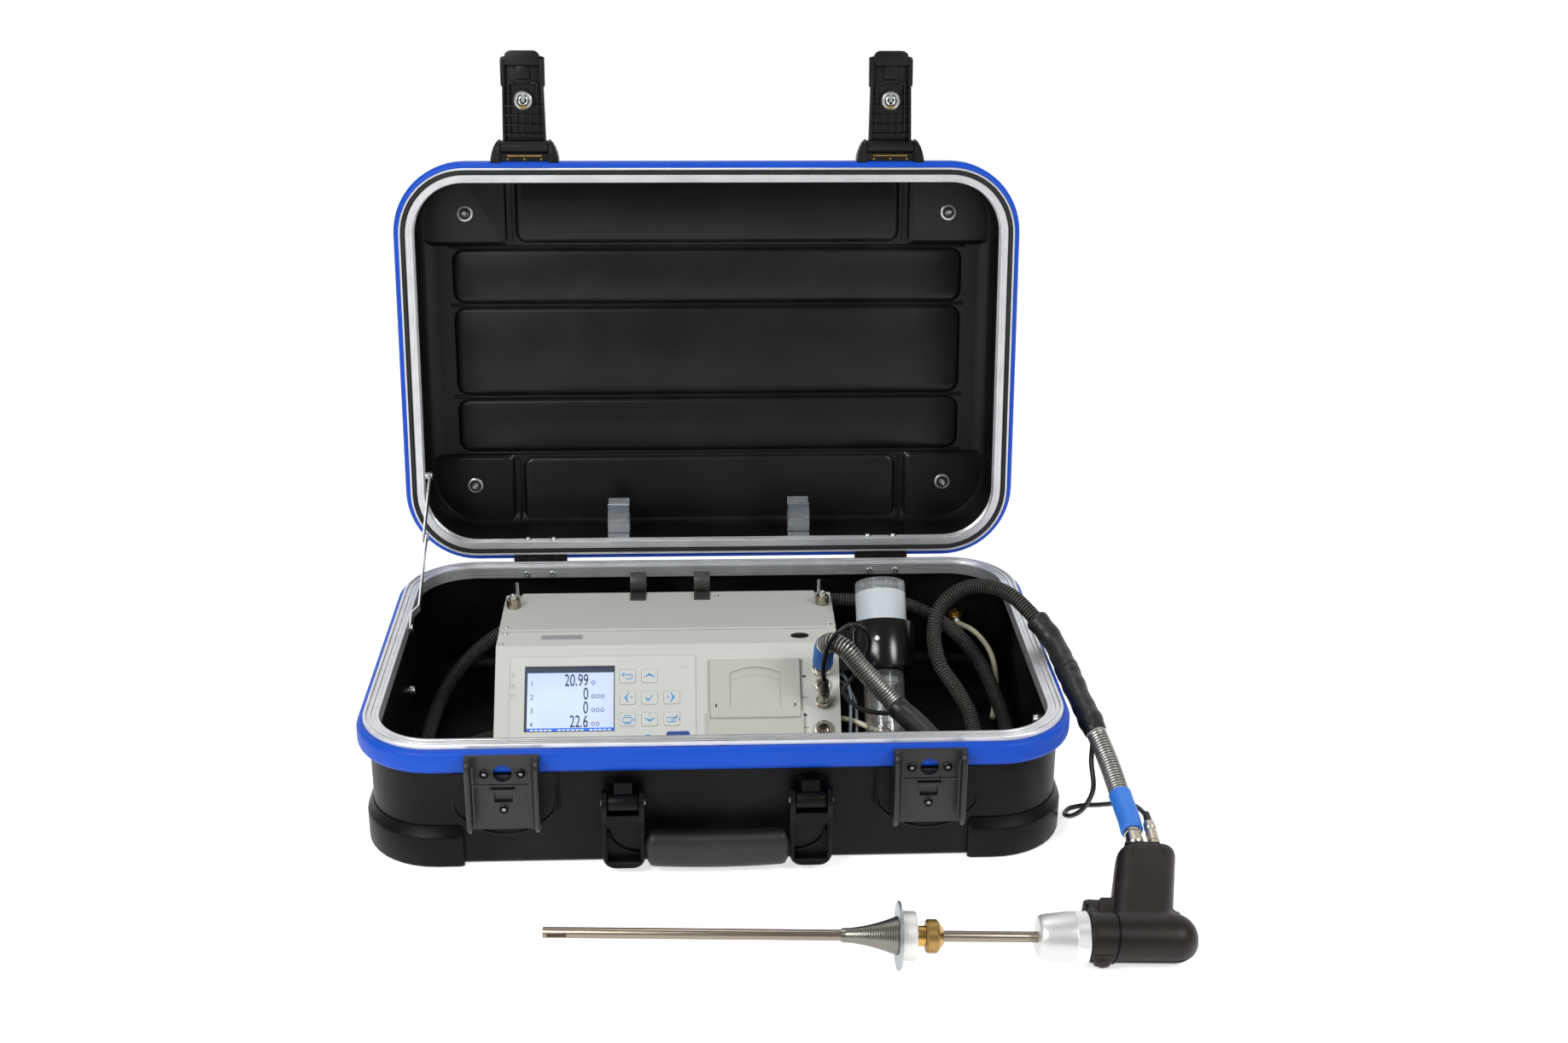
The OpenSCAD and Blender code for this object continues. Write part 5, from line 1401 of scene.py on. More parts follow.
@dataclass
class CarryHandle:
    """The folding handle under the front bumper, with a soft grip."""

    shop: Workshop
    arm_x: float = 73.0
    arm_w: float = 33.0

    def build(self) -> None:
        """Makes the brackets, the arms and the grip."""
        self.shop.dress("handle_brackets", BLACK_ABS, 0.8)
        low, high = corners("handle_frame")
        self.low, self.y = low.z, high.y - 10
        self.shop.dress("handle_frame", BLACK_ABS, 1.0)
        self.arm_ribs()
        self.grip()
        ends = Shape()
        pin_z = self.low + 56
        for side in (-1, 1):
            for end in (-1, 1):
                x = side * self.arm_x + end * self.arm_w / 2
                ends.lathe([(0, 0.5), (0, 2.6), (0.6, 2.6), (1, 2.0), (1, 0.5)],
                    move(x, self.y, pin_z) @ turn(0 if end > 0 else 180, "Z"), 18)
        self.shop.piece("handle_pin_ends", ends, ZINC_STEEL, "handle", smooth=30)
        marks = Shape()
        top = corners("handle_brackets")[1].z
        for side in (-1, 1):
            for x in (-5, 0, 5):
                marks.lathe([(0, 0.2), (0, 0.9), (0.5, 0.7), (0.5, 0.2)],
                    move(side * self.arm_x + x, self.y + 4.6, top - 8.6) @ turn(-120, "Z"), 12)
        self.shop.piece("handle_bracket_rivets", marks, ZINC_STEEL, smooth=30)

    def arm_ribs(self) -> None:
        """A raised rim round each arm's pocket, and the curved rib inside it."""
        shape = Shape()
        front = self.y - 6
        for side in (-1, 1):
            inner, outer = side * (self.arm_x - self.arm_w / 2 + 4.4), side * (self.arm_x + self.arm_w / 2
                - 4.4)
            rib = [Vector((inner, front + 5.5, self.low + 11))]
            span = abs(outer - inner)
            rib += [Vector((inner + side * span * sin(a), front + 5.2, self.low + 32 - 21 * cos(a)))
                for a in [radians(12 * k) for k in range(1, 8)]]
            shape.tube(rib, 1.1, 8)
            half = self.arm_w / 2 - 1.4
            rim = [(-half, self.low + 46), (-half, self.low + 11), *arc(-half + 9, self.low + 10.4, 9, 180,
                262, 6), *arc(half - 9, self.low + 10.4, 9, -82, 0, 6), (half, self.low + 46)]
            shape.tube([Vector((side * self.arm_x + a, front + 0.4, b)) for a, b in rim], 1.3, 10)
        shape.uvs = None
        self.shop.piece("handle_arm_ribs", shape, BLACK_ABS, "handle", smooth=50)

    def grip(self) -> None:
        """The rubber grip: fuller towards its ends on top, and bowed underneath."""
        half = self.arm_x - self.arm_w / 2 - 0.8
        rings = []
        for k in range(37):
            t = -1 + 2 * k / 36
            x = half * t
            end = max(0.0, (abs(x) - half + 5) / 5)
            shrink = 1 - 0.42 * end ** 2.4
            top = self.low + 31.5 - 1.6 * (1 - t * t)
            bottom = self.low - 0.8 + 2.4 * t * t
            mid, high = (top + bottom) / 2, (top - bottom) / 2
            depth = 9.2 + 0.7 * t * t
            ring = []
            for i in range(32):
                a = 2 * pi * i / 32
                c, s = cos(a), sin(a)
                ring.append(Vector((x, self.y - 2 + shrink * depth * copysign(abs(c) ** 0.75, c),
                    mid + shrink * high * copysign(abs(s) ** 0.8, s))))
            rings.append(ring)
        self.shop.piece("handle_grip_rubber", Shape().loft(rings), GRIP_RUBBER, "handle", ("handle_grip",),
            smooth=60)


# ---------------------------------------------------------------- analyser


@dataclass
class Analyser:
    """The light grey analyser: housing, top plate, foil panel with display and keys, sockets and printer."""

    shop: Workshop
    foil_t: float = 0.6
    key_x: float = 114.0
    key_u: float = 28.5
    key_pitch: float = 19.2
    screen: tuple[float, float, float, float] = (26.0, 19.0, 76.8, 57.6)
    socket_x: float = 283.0

    def __post_init__(self) -> None:
        """Finds the sloping panel from the frame's spare socket."""
        low, high = corners("analyser_housing")
        plate = corners("analyser_top_plate")
        self.left, self.right, self.top = low.x, high.x, plate[0].z
        self.plate_top = self.top + 2
        self.back, self.plate_front = plate[1].y, plate[0].y
        mount = next(m for m in self.shop.frame["record"]["mounts"] if m["name"] == "spare_socket")
        out = Vector(mount["axis"])
        slope = atan2(-out.y, out.z)
        up = Vector((0, cos(slope), sin(slope)))
        at = Vector(mount["pos_m"]) / MM - out
        at += up * (self.top - at.z) / up.z
        self.panel = move(self.left, at.y, at.z) @ Matrix.Rotation(slope, 4, "X")

    def on_panel(self, x: float, u: float, z: float = 0.0) -> Matrix:
        """A place on the panel: x from its left side, u down from its top edge, z outward."""
        return self.panel @ move(x, -u, z)

    def build(self) -> None:
        """Makes the analyser."""
        self.shop.dress("analyser_housing", LIGHT_COAT, 0.5)
        # The top plate takes the darker copy of the housing's coat: painted shade.
        self.shop.dress("analyser_top_plate", TOP_PLATE_SHADED_COAT, 0.5)
        self.shop.dress("membrane_panel", FOIL, 0.15)
        self.shop.dress("display_module", SCREEN)
        self.shop.dress("gas_sockets", NICKEL, 0.3)
        for node in ("printer_frame", "printer_door"):
            self.shop.dress(node, PRINTER_ABS, 0.4)
        self.shop.dress("tube_clips", DARK_CLIP, 0.3)
        self.shop.dress("measuring_unit", Finish("solder_masked_circuit_unit", "#1d5f3c", 0.4,
            slot="circuit_unit"))
        for side in ("left", "right"):
            self.nut(side)
        self.top_details()
        self.display()
        self.keys()
        self.printing()
        self.printer()
        self.sockets()

    def nut(self, side: str) -> None:
        """A slotted thumb nut with a knurled rim, and the stud through it."""
        low, high = corners(f"thumb_nut_{side}")
        centre = (low + high) / 2
        place = move(centre.x, centre.y, low.z) @ turn(-90, "Y")
        body = Shape()
        body.lathe([(0, 2.6), (0, 6.2), (0.4, 6.4), (1, 6.4), (1.2, 5.6), (8, 5.6), (8.5, 5.0), (8.5, 2.6)],
            place, 40, closed=True)
        for k in range(20):
            a = 2 * pi * k / 20
            body.block((5.2, -0.4, 1.6), (6.3, 0.4, 7.6), move(centre.x, centre.y, low.z) @ Matrix.Rotation(a,
                4, "Z"))
        self.shop.piece(f"thumb_nut_{side}_turned", body, NICKEL, f"nut_{side}", (f"thumb_nut_{side}",),
            smooth=25)
        stud = Shape().lathe([(8, 0.3), (8, 2.4), (12.2, 2.4), (13, 1.8), (13, 0.3)], place, 24)
        self.shop.piece(f"thumb_stud_{side}", stud, ZINC_STEEL, smooth=25)

    def top_details(self) -> None:
        """The blank label, the oval plug, the cover's screws and the folded edge of the top plate."""
        label = rounded_outline(36, 9, 1, 3)
        self.shop.piece("analyser_blank_label",
            Shape().extrude(label, 0, 0.25, move(self.left + 56, 39.5, self.top)), LABEL)
        plug = [(8 * cos(a), 5 * sin(a)) for a in [2 * pi * k / 40 for k in range(40)]]
        place = move(self.right - 33, 37, self.top)
        bm = Shape().extrude(plug, 0, 0.9, place).bmesh()
        soften(bm, 0.5, 50)
        self.shop.piece("analyser_oval_plug", bm, LEAD_PVC, smooth=50)
        screws = Shape()
        head = [(0, 0.3), (0, 2.2), (0.5, 2.0), (0.9, 1.2), (0.6, 1.0), (0.6, 0.3)]
        for x, y, z in ((self.left + 6, 48, self.top), (self.left + 4, 27, self.top),
                (self.right - 5, 27, self.top), (self.left + 193, self.back - 10, self.plate_top),
                (self.left + 6, self.plate_front + 5, self.plate_top), (self.right - 6, self.plate_front + 5,
                self.plate_top)):
            screws.lathe(head, move(x, y, z) @ turn(-90, "Y"), 20)
        self.shop.piece("analyser_cover_screws", screws, ZINC_STEEL, smooth=30)
        lip = Shape().block((self.left + 0.3, self.plate_front - 0.6, self.top + 0.3),
            (self.right - 0.3, self.plate_front + 0.6, self.plate_top - 0.1))
        bm = lip.bmesh()
        soften(bm, 0.5)
        self.shop.piece("analyser_plate_lip", bm, LIGHT_COAT)

    def display(self) -> None:
        """The lit display: a dark band of painted shadow along its top and left edge, four readings, marks
        beside them, and a blue foot.
        """
        x, u, w, h = self.screen
        z = 0.2
        band, foot = 5.6, 3.0
        flat = Shape().block((0.4, -h + 0.4, 0), (w - 0.4, -0.4, 0.06), self.on_panel(x, u, z))
        self.shop.piece("display_glass", flat, SCREEN)
        # Painted shadow: a dark band across the top of the screen and a narrow one down its left edge, under
        # the bezel.
        shade = Shape().block((0.4, -band, 0.06), (w - 0.4, -0.4, 0.1), self.on_panel(x, u, z))
        shade.block((0.4, -h + 0.4, 0.06), (2.0, -0.4, 0.11), self.on_panel(x, u, z))
        self.shop.piece("display_painted_top_shadow", shade, SCREEN_PAINTED_SHADOW)
        bar = Shape().block((2.0, -h + 0.4, 0.06), (w - 0.4, -h + foot, 0.12), self.on_panel(x, u, z))
        self.shop.piece("display_foot_bar", bar, SCREEN_BAR)
        dashes = Shape()
        for k in range(18):
            if k % 7 != 5:
                dashes.block((5 + 3.9 * k, -h + 0.8, 0.12), (7.6 + 3.9 * k, -h + 1.7, 0.15),
                    self.on_panel(x, u, z))
        self.shop.piece("display_foot_marks", dashes, PALE_DIGIT_INK)
        for k, reading in enumerate(("20.99", "0", "0", "22.6")):
            base = 17.4 + 12.2 * k
            self.shop.numerals(f"display_reading_{k + 1}", reading, 15.2, 0.62, 0.022,
                self.on_panel(x + 54.6, u + base, z + 0.1), DIGIT_INK)
            self.shop.numerals(f"display_channel_{k + 1}", str(k + 1), 6.2, 0.9, 0.006,
                self.on_panel(x + 7.2, u + base - 0.6, z + 0.1), DIGIT_INK)
        units = Shape()
        for k, marks in enumerate((1, 3, 3, 2)):
            for i in range(marks):
                ring = [(58.6 + 4.0 * i + 1.3 * cos(a), -14.6 - 12.2 * k + 1.6 * sin(a))
                    for a in [2 * pi * j / 16 for j in range(16)]]
                units.strip(ring, 0.55, 0.1, self.on_panel(x, u, z + 0.06), closed=True)
        self.shop.piece("display_unit_marks", units, DIGIT_INK)
        frame = Shape()
        for a, b in (((-0.4, -h - 0.3, 0), (w + 0.4, -h + 0.5, 0.62)),
                ((-0.4, -0.5, 0), (w + 0.4, 0.3, 0.62)), ((-0.4, -h, 0), (0.45, 0, 0.62)),
                ((w - 0.45, -h, 0), (w + 0.4, 0, 0.62))):
            frame.block(a, b, self.on_panel(x, u, 0))
        self.shop.piece("display_gasket", frame, Printed("dark_display_gasket", "#3a2f2c", 0.5,
            slot="panel_foil"))

    def key_place(self, k: int, z: float) -> Matrix:
        """The middle of a key in the three by three block."""
        return self.on_panel(self.key_x + self.key_pitch * (k % 3), self.key_u + self.key_pitch * (k // 3), z)

    def chevron(self, shape: Shape, place: Matrix, angle: float, size: float = 1.0) -> None:
        """A pointed mark with a hollow foot, as on an arrow key."""
        flat = [(0, 2.6), (-5.2, -1.4), (-3, -0.9), *[(x, 0.3 - 0.12 * x * x) for x in (-1.5, 0, 1.5)],
            (3, -0.9), (5.2, -1.4)]
        shape.extrude([(size * a, size * b) for a, b in flat], 0, 0.08, place @ turn(angle, "Z"))

    def keys(self) -> None:
        """Key foil and the printed sign on each key."""
        names = {0: "back", 1: "up", 3: "left", 4: "enter", 5: "right", 6: "print", 7: "down", 8: "save"}
        top = self.foil_t + 0.35
        for k, name in names.items():
            self.shop.dress(f"key_{name}", KEY_FOIL, 0.3)
            sign = Shape()
            place = self.key_place(k, top)
            if name == "back":
                hook = [(-4.6, 1.4), (2.4, 1.4), *arc(2.4, -0.5, 1.9, 90, -90, 8), (-1.2, -2.4)]
                sign.strip(hook, 0.8, 0.08, place)
                sign.strip([(-2.6, 3.4), (-5.0, 1.4), (-2.6, -0.6)], 0.8, 0.08, place)
            elif name == "enter":
                sign.extrude([(-4, -0.6), (-3, 0.2), (-1.2, -1.6), (4.2, 3.6), (-1.2, -3.6)], 0, 0.08, place)
            elif name == "print":
                sign.strip(rounded_outline(8, 4, 1, 3), 0.7, 0.08, place @ move(0, -0.4, 0), closed=True)
                sign.strip([(-2.6, 1.8), (-2.0, 3.4), (2.6, 3.4), (2.4, 1.8)], 0.6, 0.08, place)
                sign.strip([(-3, -2.6), (-2.4, -4), (3, -4), (3, -2.6)], 0.6, 0.08, place)
                sign.strip([(-1.5, -3.2), (2, -3.2)], 0.5, 0.08, place)
            elif name == "save":
                sign.strip([(-5, 1.2), (-3.6, -2.8), (3, -2.8), (4.2, 1.2)], 0.8, 0.08, place, closed=True)
                sign.strip([(-1.5, -0.6), (0.4, -1.8), (5, 3.6)], 0.9, 0.08, place)
            else:
                self.chevron(sign, place, {"up": 0, "left": 90, "right": -90, "down": 180}[name])
            self.shop.piece(f"key_{name}_sign", sign, CYAN_INK, f"key_{name}")
        for name, k, figure, dx, dy in (("left", 3, "9", 4.4, -1.2), ("right", 5, "0", -2.4, -1.2),
                ("print", 6, "6", 7.0, -1.4), ("down", 7, "7", 0.9, 2.2), ("save", 8, "8", 7.0, -1.2)):
            self.shop.numerals(f"key_{name}_number", figure, 3.6, 1.0, 0.012, self.key_place(k, top + 0.03)
                @ move(dx, dy, 0), CYAN_INK, f"key_{name}")

    def printing(self) -> None:
        """Soft-key marks, clock, power key, flow and status marks, and the foil's outline as a grey line of
        painted shadow.
        """
        top = self.foil_t
        soft = Shape()
        for k in range(4):
            self.chevron(soft, self.on_panel(35.7 + 18.5 * k, 84, top), 0)
        ring = [(131.5 + 4.2 * cos(a), 4.2 * sin(a)) for a in [2 * pi * j / 28 for j in range(28)]]
        soft.strip(ring, 0.9, 0.08, self.on_panel(0, 85, top), closed=True)
        soft.strip([(131.5, 2.4), (131.5, 0), (133.6, 0)], 0.8, 0.08, self.on_panel(0, 85, top))
        self.shop.piece("panel_soft_key_marks", soft, CYAN_INK)
        for k in range(4):
            self.shop.numerals(f"panel_soft_number_{k + 1}", str(k + 1), 3.4, 1.0, 0.01,
                self.on_panel(44.2 + 18.5 * k, 86.4, top + 0.03), CYAN_INK)
        power = Shape().extrude(rounded_outline(20, 15, 2, 4), 0, 0.25, self.on_panel(157.5, 85.5, top))
        self.shop.piece("panel_power_key", power, NAVY_INK)
        sign = Shape()
        sign.strip([(3.6 * cos(a), 3.6 * sin(a)) for a in [radians(125 + 290 * j / 20) for j in range(21)]],
            1.0, 0.08, self.on_panel(157.5, 85.5, top + 0.25))
        sign.strip([(0, 4.6), (0, 0.4)], 1.0, 0.08, self.on_panel(157.5, 85.5, top + 0.25))
        self.shop.piece("panel_power_sign", sign, WHITE_INK)
        dots = Shape()
        disc = [(1.1 * cos(a), 1.1 * sin(a)) for a in [2 * pi * j / 16 for j in range(16)]]
        for k in range(6):
            dots.extrude(disc, 0, 0.05, self.on_panel(163.5, 26 + 9.2 * k, top))
        for u in (26.5, 35.7, 45):
            dots.extrude(disc, 0, 0.05, self.on_panel(20.8, u, top))
        self.shop.piece("panel_lamp_windows", dots, Printed("lamp_window_ink", "#cfcfcb", 0.4,
            slot="panel_foil"))
        marks = Shape()
        fan = self.on_panel(15.4, 25.5, top)
        for r in (1.2, 2.4):
            marks.strip(arc(0, -1.6, r, 50, 130, 6), 0.4, 0.05, fan)
        marks.strip([(0.4 * cos(a), -1.6 + 0.4 * sin(a)) for a in (0.3, 1.9, 3.5, 5.1)], 0.4, 0.05, fan,
            closed=True)
        ring = [(1.7 * cos(a), 1.7 * sin(a)) for a in [2 * pi * j / 18 for j in range(18)]]
        marks.strip(ring, 0.35, 0.05, self.on_panel(15.4, 36, top), closed=True)
        marks.strip([(0, -0.8), (0, 0.9)], 0.4, 0.05, self.on_panel(15.4, 36, top))
        marks.strip(rounded_outline(4.6, 2.4, 0.6, 3), 0.4, 0.05, self.on_panel(15.4, 45, top), closed=True)
        marks.strip([(-3, 0), (3, 0)], 0.35, 0.05, self.on_panel(163.5, 20.6, top))
        marks.strip([(-3, 0), (3, 0)], 0.35, 0.05, self.on_panel(163.5, 77.5, top))
        marks.extrude(disc, 0, 0.05, self.on_panel(115.5, 84.6, top))
        self.shop.piece("panel_status_marks", marks, GREY_INK)
        low, high = corners("membrane_panel")
        width = high.x - low.x
        # The foil's outline is a grey strip: a painted shadow line along the foil's edge.
        edge = Shape().strip([(0, 0), (width, 0), (width, -84.2), (0, -84.2)], 0.35, 0.12,
            self.on_panel(low.x - self.left, 10, top - 0.1), closed=True)
        self.shop.piece("panel_foil_edge_painted_shadow", edge, GREY_INK)
        label = Shape()
        for u, w in ((30.5, 3.4), (65, 3.4)):
            label.block((self.socket_x - 17.6, -0.9, 0.02), (self.socket_x - 17.6 + w, 0.9, 0.1),
                self.on_panel(0, u))
        for u in (49.5, 76):
            label.strip([(self.socket_x - 18.4, 0), (self.socket_x - 12.6, 0)], 0.45, 0.1,
                self.on_panel(0, u))
            label.extrude([(self.socket_x - 18.8, 0), (self.socket_x - 16.8, 0.8),
                (self.socket_x - 16.8, -0.8)][::-1], 0, 0.1, self.on_panel(0, u))
        self.shop.piece("socket_flow_marks", label, DARK_INK)

    def printer(self) -> None:
        """The printer door's finger recess, slots, seam and side clips."""
        low, high = corners("printer_door")
        x0, x1 = low.x - self.left, high.x - self.left
        mid = (x0 + x1) / 2
        top = 4.0
        axis_u = 66.5
        lines = Shape()
        lines.strip([(mid - 22, -axis_u + 8.2), (mid - 22, -axis_u + 39),
            *[(mid - 22 + 5.5 * i, -axis_u + 39 + 5 * sin(radians(22.5 * i))) for i in range(1, 8)],
            (mid + 22, -axis_u + 39), (mid + 22, -axis_u + 8.2)], 0.35, 0.06, self.on_panel(0, 0, top))
        inner = [(mid - 21.5, -axis_u + 32.5),
            *[(mid - 22 + 5.5 * i, -axis_u + 32 + 5 * sin(radians(22.5 * i))) for i in range(1, 8)],
            (mid + 21.5, -axis_u + 32.5)]
        lines.strip(inner, 0.45, 0.08, self.on_panel(0, 0, top - 0.8))
        lines.strip([(mid - 7, -axis_u + 37.2), (mid - 8, -axis_u + 42.6), (mid + 7, -axis_u + 42.8),
            (mid + 8.4, -axis_u + 37)], 0.35, 0.06, self.on_panel(0, 0, top - 0.8))
        self.shop.piece("printer_door_lines", lines, Printed("moulded_line_shadow", "#a5a49d", 0.6,
            slot="light_housing"), "printer_door")
        # The slots are dark ink blocks on the door: painted shade standing in for the openings.
        slots = Shape()
        for x in (mid - 34, mid + 34):
            slots.block((x - 0.7, -axis_u + 8.4, top - 0.05), (x + 0.7, -axis_u + 11.4, top + 0.06),
                self.on_panel(0, 0))
        self.shop.piece("printer_door_slot_shade", slots, DARK_INK, "printer_door")
        teeth = Shape()
        for k in range(46):
            x = mid - 34 + 68 * k / 45
            teeth.block((x - 0.35, -axis_u - 2.6, top - 0.1), (x + 0.35, -axis_u - 1.9, top + 0.06),
                self.on_panel(0, 0))
        teeth.strip([(mid - 40, -axis_u - 1.6), (mid + 40, -axis_u - 1.6)], 0.5, 0.06,
            self.on_panel(0, 0, top))
        self.shop.piece("printer_tear_edge", teeth, GREY_INK)

    def sockets(self) -> None:
        """Nickel rims and dark mouths of the two open sockets."""
        for name, u, rim, bore, z in (("pressure", 39, 6.5, 2.5, 4.0), ("spare", 78.5, 8.0, 4.2, 3.5)):
            place = self.on_panel(self.socket_x, u, 0) @ turn(-90, "Y")
            ring = Shape().lathe([(z - 0.4, bore + 0.6), (z + 0.2, bore + 0.8), (z + 0.2, rim - 1.6),
                (z - 0.6, rim - 0.3), (z - 0.6, bore + 0.6)], place, 40, closed=True)
            self.shop.piece(f"{name}_socket_rim", ring, NICKEL, smooth=30)
            # A black tube inside each bore makes the socket's mouth dark.
            tube = Shape().lathe([(z - 6, bore - 0.05), (z + 0.1, bore - 0.05), (z + 0.1, bore + 0.7),
                (z - 6, bore + 0.7)], place, 36, closed=True)
            self.shop.piece(f"{name}_socket_dark_bore", tube, LEAD_PVC, smooth=30)


# ---------------------------------------------------------------- filter


@dataclass
class GasFilter:
    """The filter and condensate jar on the analyser's right side."""

    shop: Workshop
    body_r: float = 22.3
    jar_r: float = 18.0

    def __post_init__(self) -> None:
        """Finds the filter's axis from the cap's joint."""
        joint = self.shop.joint("filter_cap_turn")
        axis, at = Vector(joint["axis"]).normalized(), Vector(joint["pos_m"]) / MM
        self.place = heading_frame(at - axis * 55, axis)

    def build(self) -> None:
        """Makes the cap, body, holder and jar with what is seen through them."""
        self.shop.dress("filter_body", FILTER_WALL, 0.3)
        self.shop.dress("filter_holder", MouldedPlastic("polished_black_acetal", "#0d0d0e", 0.2, grain=2.0,
            depth=0.004, scuffs="#191919", slot="black_moulding"), 0.5)
        self.cap()
        self.jar()

    def cap(self) -> None:
        """The clear screw cap with ribs round it, and the white disc under it."""
        r = self.body_r
        shape = Shape().lathe([(50.6, r - 5.2), (50.4, r - 0.9), (59.6, r - 0.9), (61, r - 2), (61, r - 4.2),
            (60, r - 5.2)], self.place, 60, closed=True)
        shape.lathe([(58.6, 0.05), (58.6, r - 5), (60.2, r - 5), (60.2, 0.05)], self.place, 60, closed=True)
        for k in range(36):
            spin = self.place @ turn(10 * k, "X")
            shape.block((51, r - 1.2, -0.75), (60, r + 0.1, 0.75), spin)
        self.shop.piece("filter_cap_clear", shape, CLEAR_CAP, "filter_cap", ("filter_cap",), smooth=30)
        ribs = Shape()
        for k in range(24):
            ribs.block((57.4, 4, -0.5), (58.2, r - 6, 0.5), self.place @ turn(15 * k, "X"))
        ribs.lathe([(54, 0.05), (54, r - 5.4), (57, r - 5.4), (57, 0.05)], self.place, 40, closed=True)
        self.shop.piece("filter_cap_core", ribs, WHITE_PART, "filter_cap", smooth=30)

    def jar(self) -> None:
        """The glass jar with its white collar, nozzle and copper-coloured wire."""
        r = self.jar_r
        wall = Shape().lathe([(-80, 0.05), (-80, r - 2), (-78, r), (-24, r), (-22.4, r - 0.6),
            (-22.4, r - 1.6), (-24, r - 1.7), (-77, r - 1.7), (-77.6, 0.05)], self.place, 56, closed=True)
        self.shop.piece("condensate_jar_glass", wall, CLEAR_JAR, "jar", ("condensate_jar",), smooth=40)
        collar = Shape().lathe([(-28, 3), (-28, 12.2), (-33, 12.4), (-34, 9.5), (-38, 8.6), (-42, 5.6),
            (-52, 4.4), (-52, 3)], self.place, 40, closed=True)
        self.shop.piece("jar_white_nozzle", collar, WHITE_PART, smooth=30)
        wire = Shape()
        for x in (-36.5, -70):
            ring = [self.place @ Vector((x, 14.6 * cos(a), 14.6 * sin(a)))
                for a in [radians(20 + 320 * k / 36) for k in range(37)]]
            wire.tube(ring, 0.55, 8)
        for a in (20, 340):
            c, s = 14.6 * cos(radians(a)), 14.6 * sin(radians(a))
            wire.tube([self.place @ Vector((-36.5, c, s)), self.place @ Vector((-70, c, s))], 0.55, 8)
        wire.uvs = None
        copper = DrawnMetal("drawn_copper_wire", "#8a4f2c", 0.3, 1.0, stain="#4d2b18", slot="brass_fitting")
        self.shop.piece("jar_copper_wire", wire, copper, smooth=50)
        tube = Shape()
        tube.tube([self.place @ Vector((x, 0, 0)) for x in (-50, -60, -68)], 1.6, 12)
        tube.uvs = None
        self.shop.piece("jar_dip_tube", tube, GREY_TUBE, smooth=50)
        screw = Shape()
        axis_x = self.place.to_3x3() @ Vector((1, 0, 0))
        front = Vector((-0.2, -1, 0))
        front = (front - axis_x * front.dot(axis_x)).normalized()
        at = self.place @ Vector((2, 0, 0)) + front * (self.body_r + 6.3)
        screw.lathe([(0, 0.2), (0, 3.0), (1.2, 2.6), (1.6, 1.6), (1.0, 1.2), (1.0, 0.2)],
            heading_frame(at, front), 24)
        self.shop.piece("filter_holder_screw", screw, ZINC_STEEL, smooth=30)


# ---------------------------------------------------------------- probe


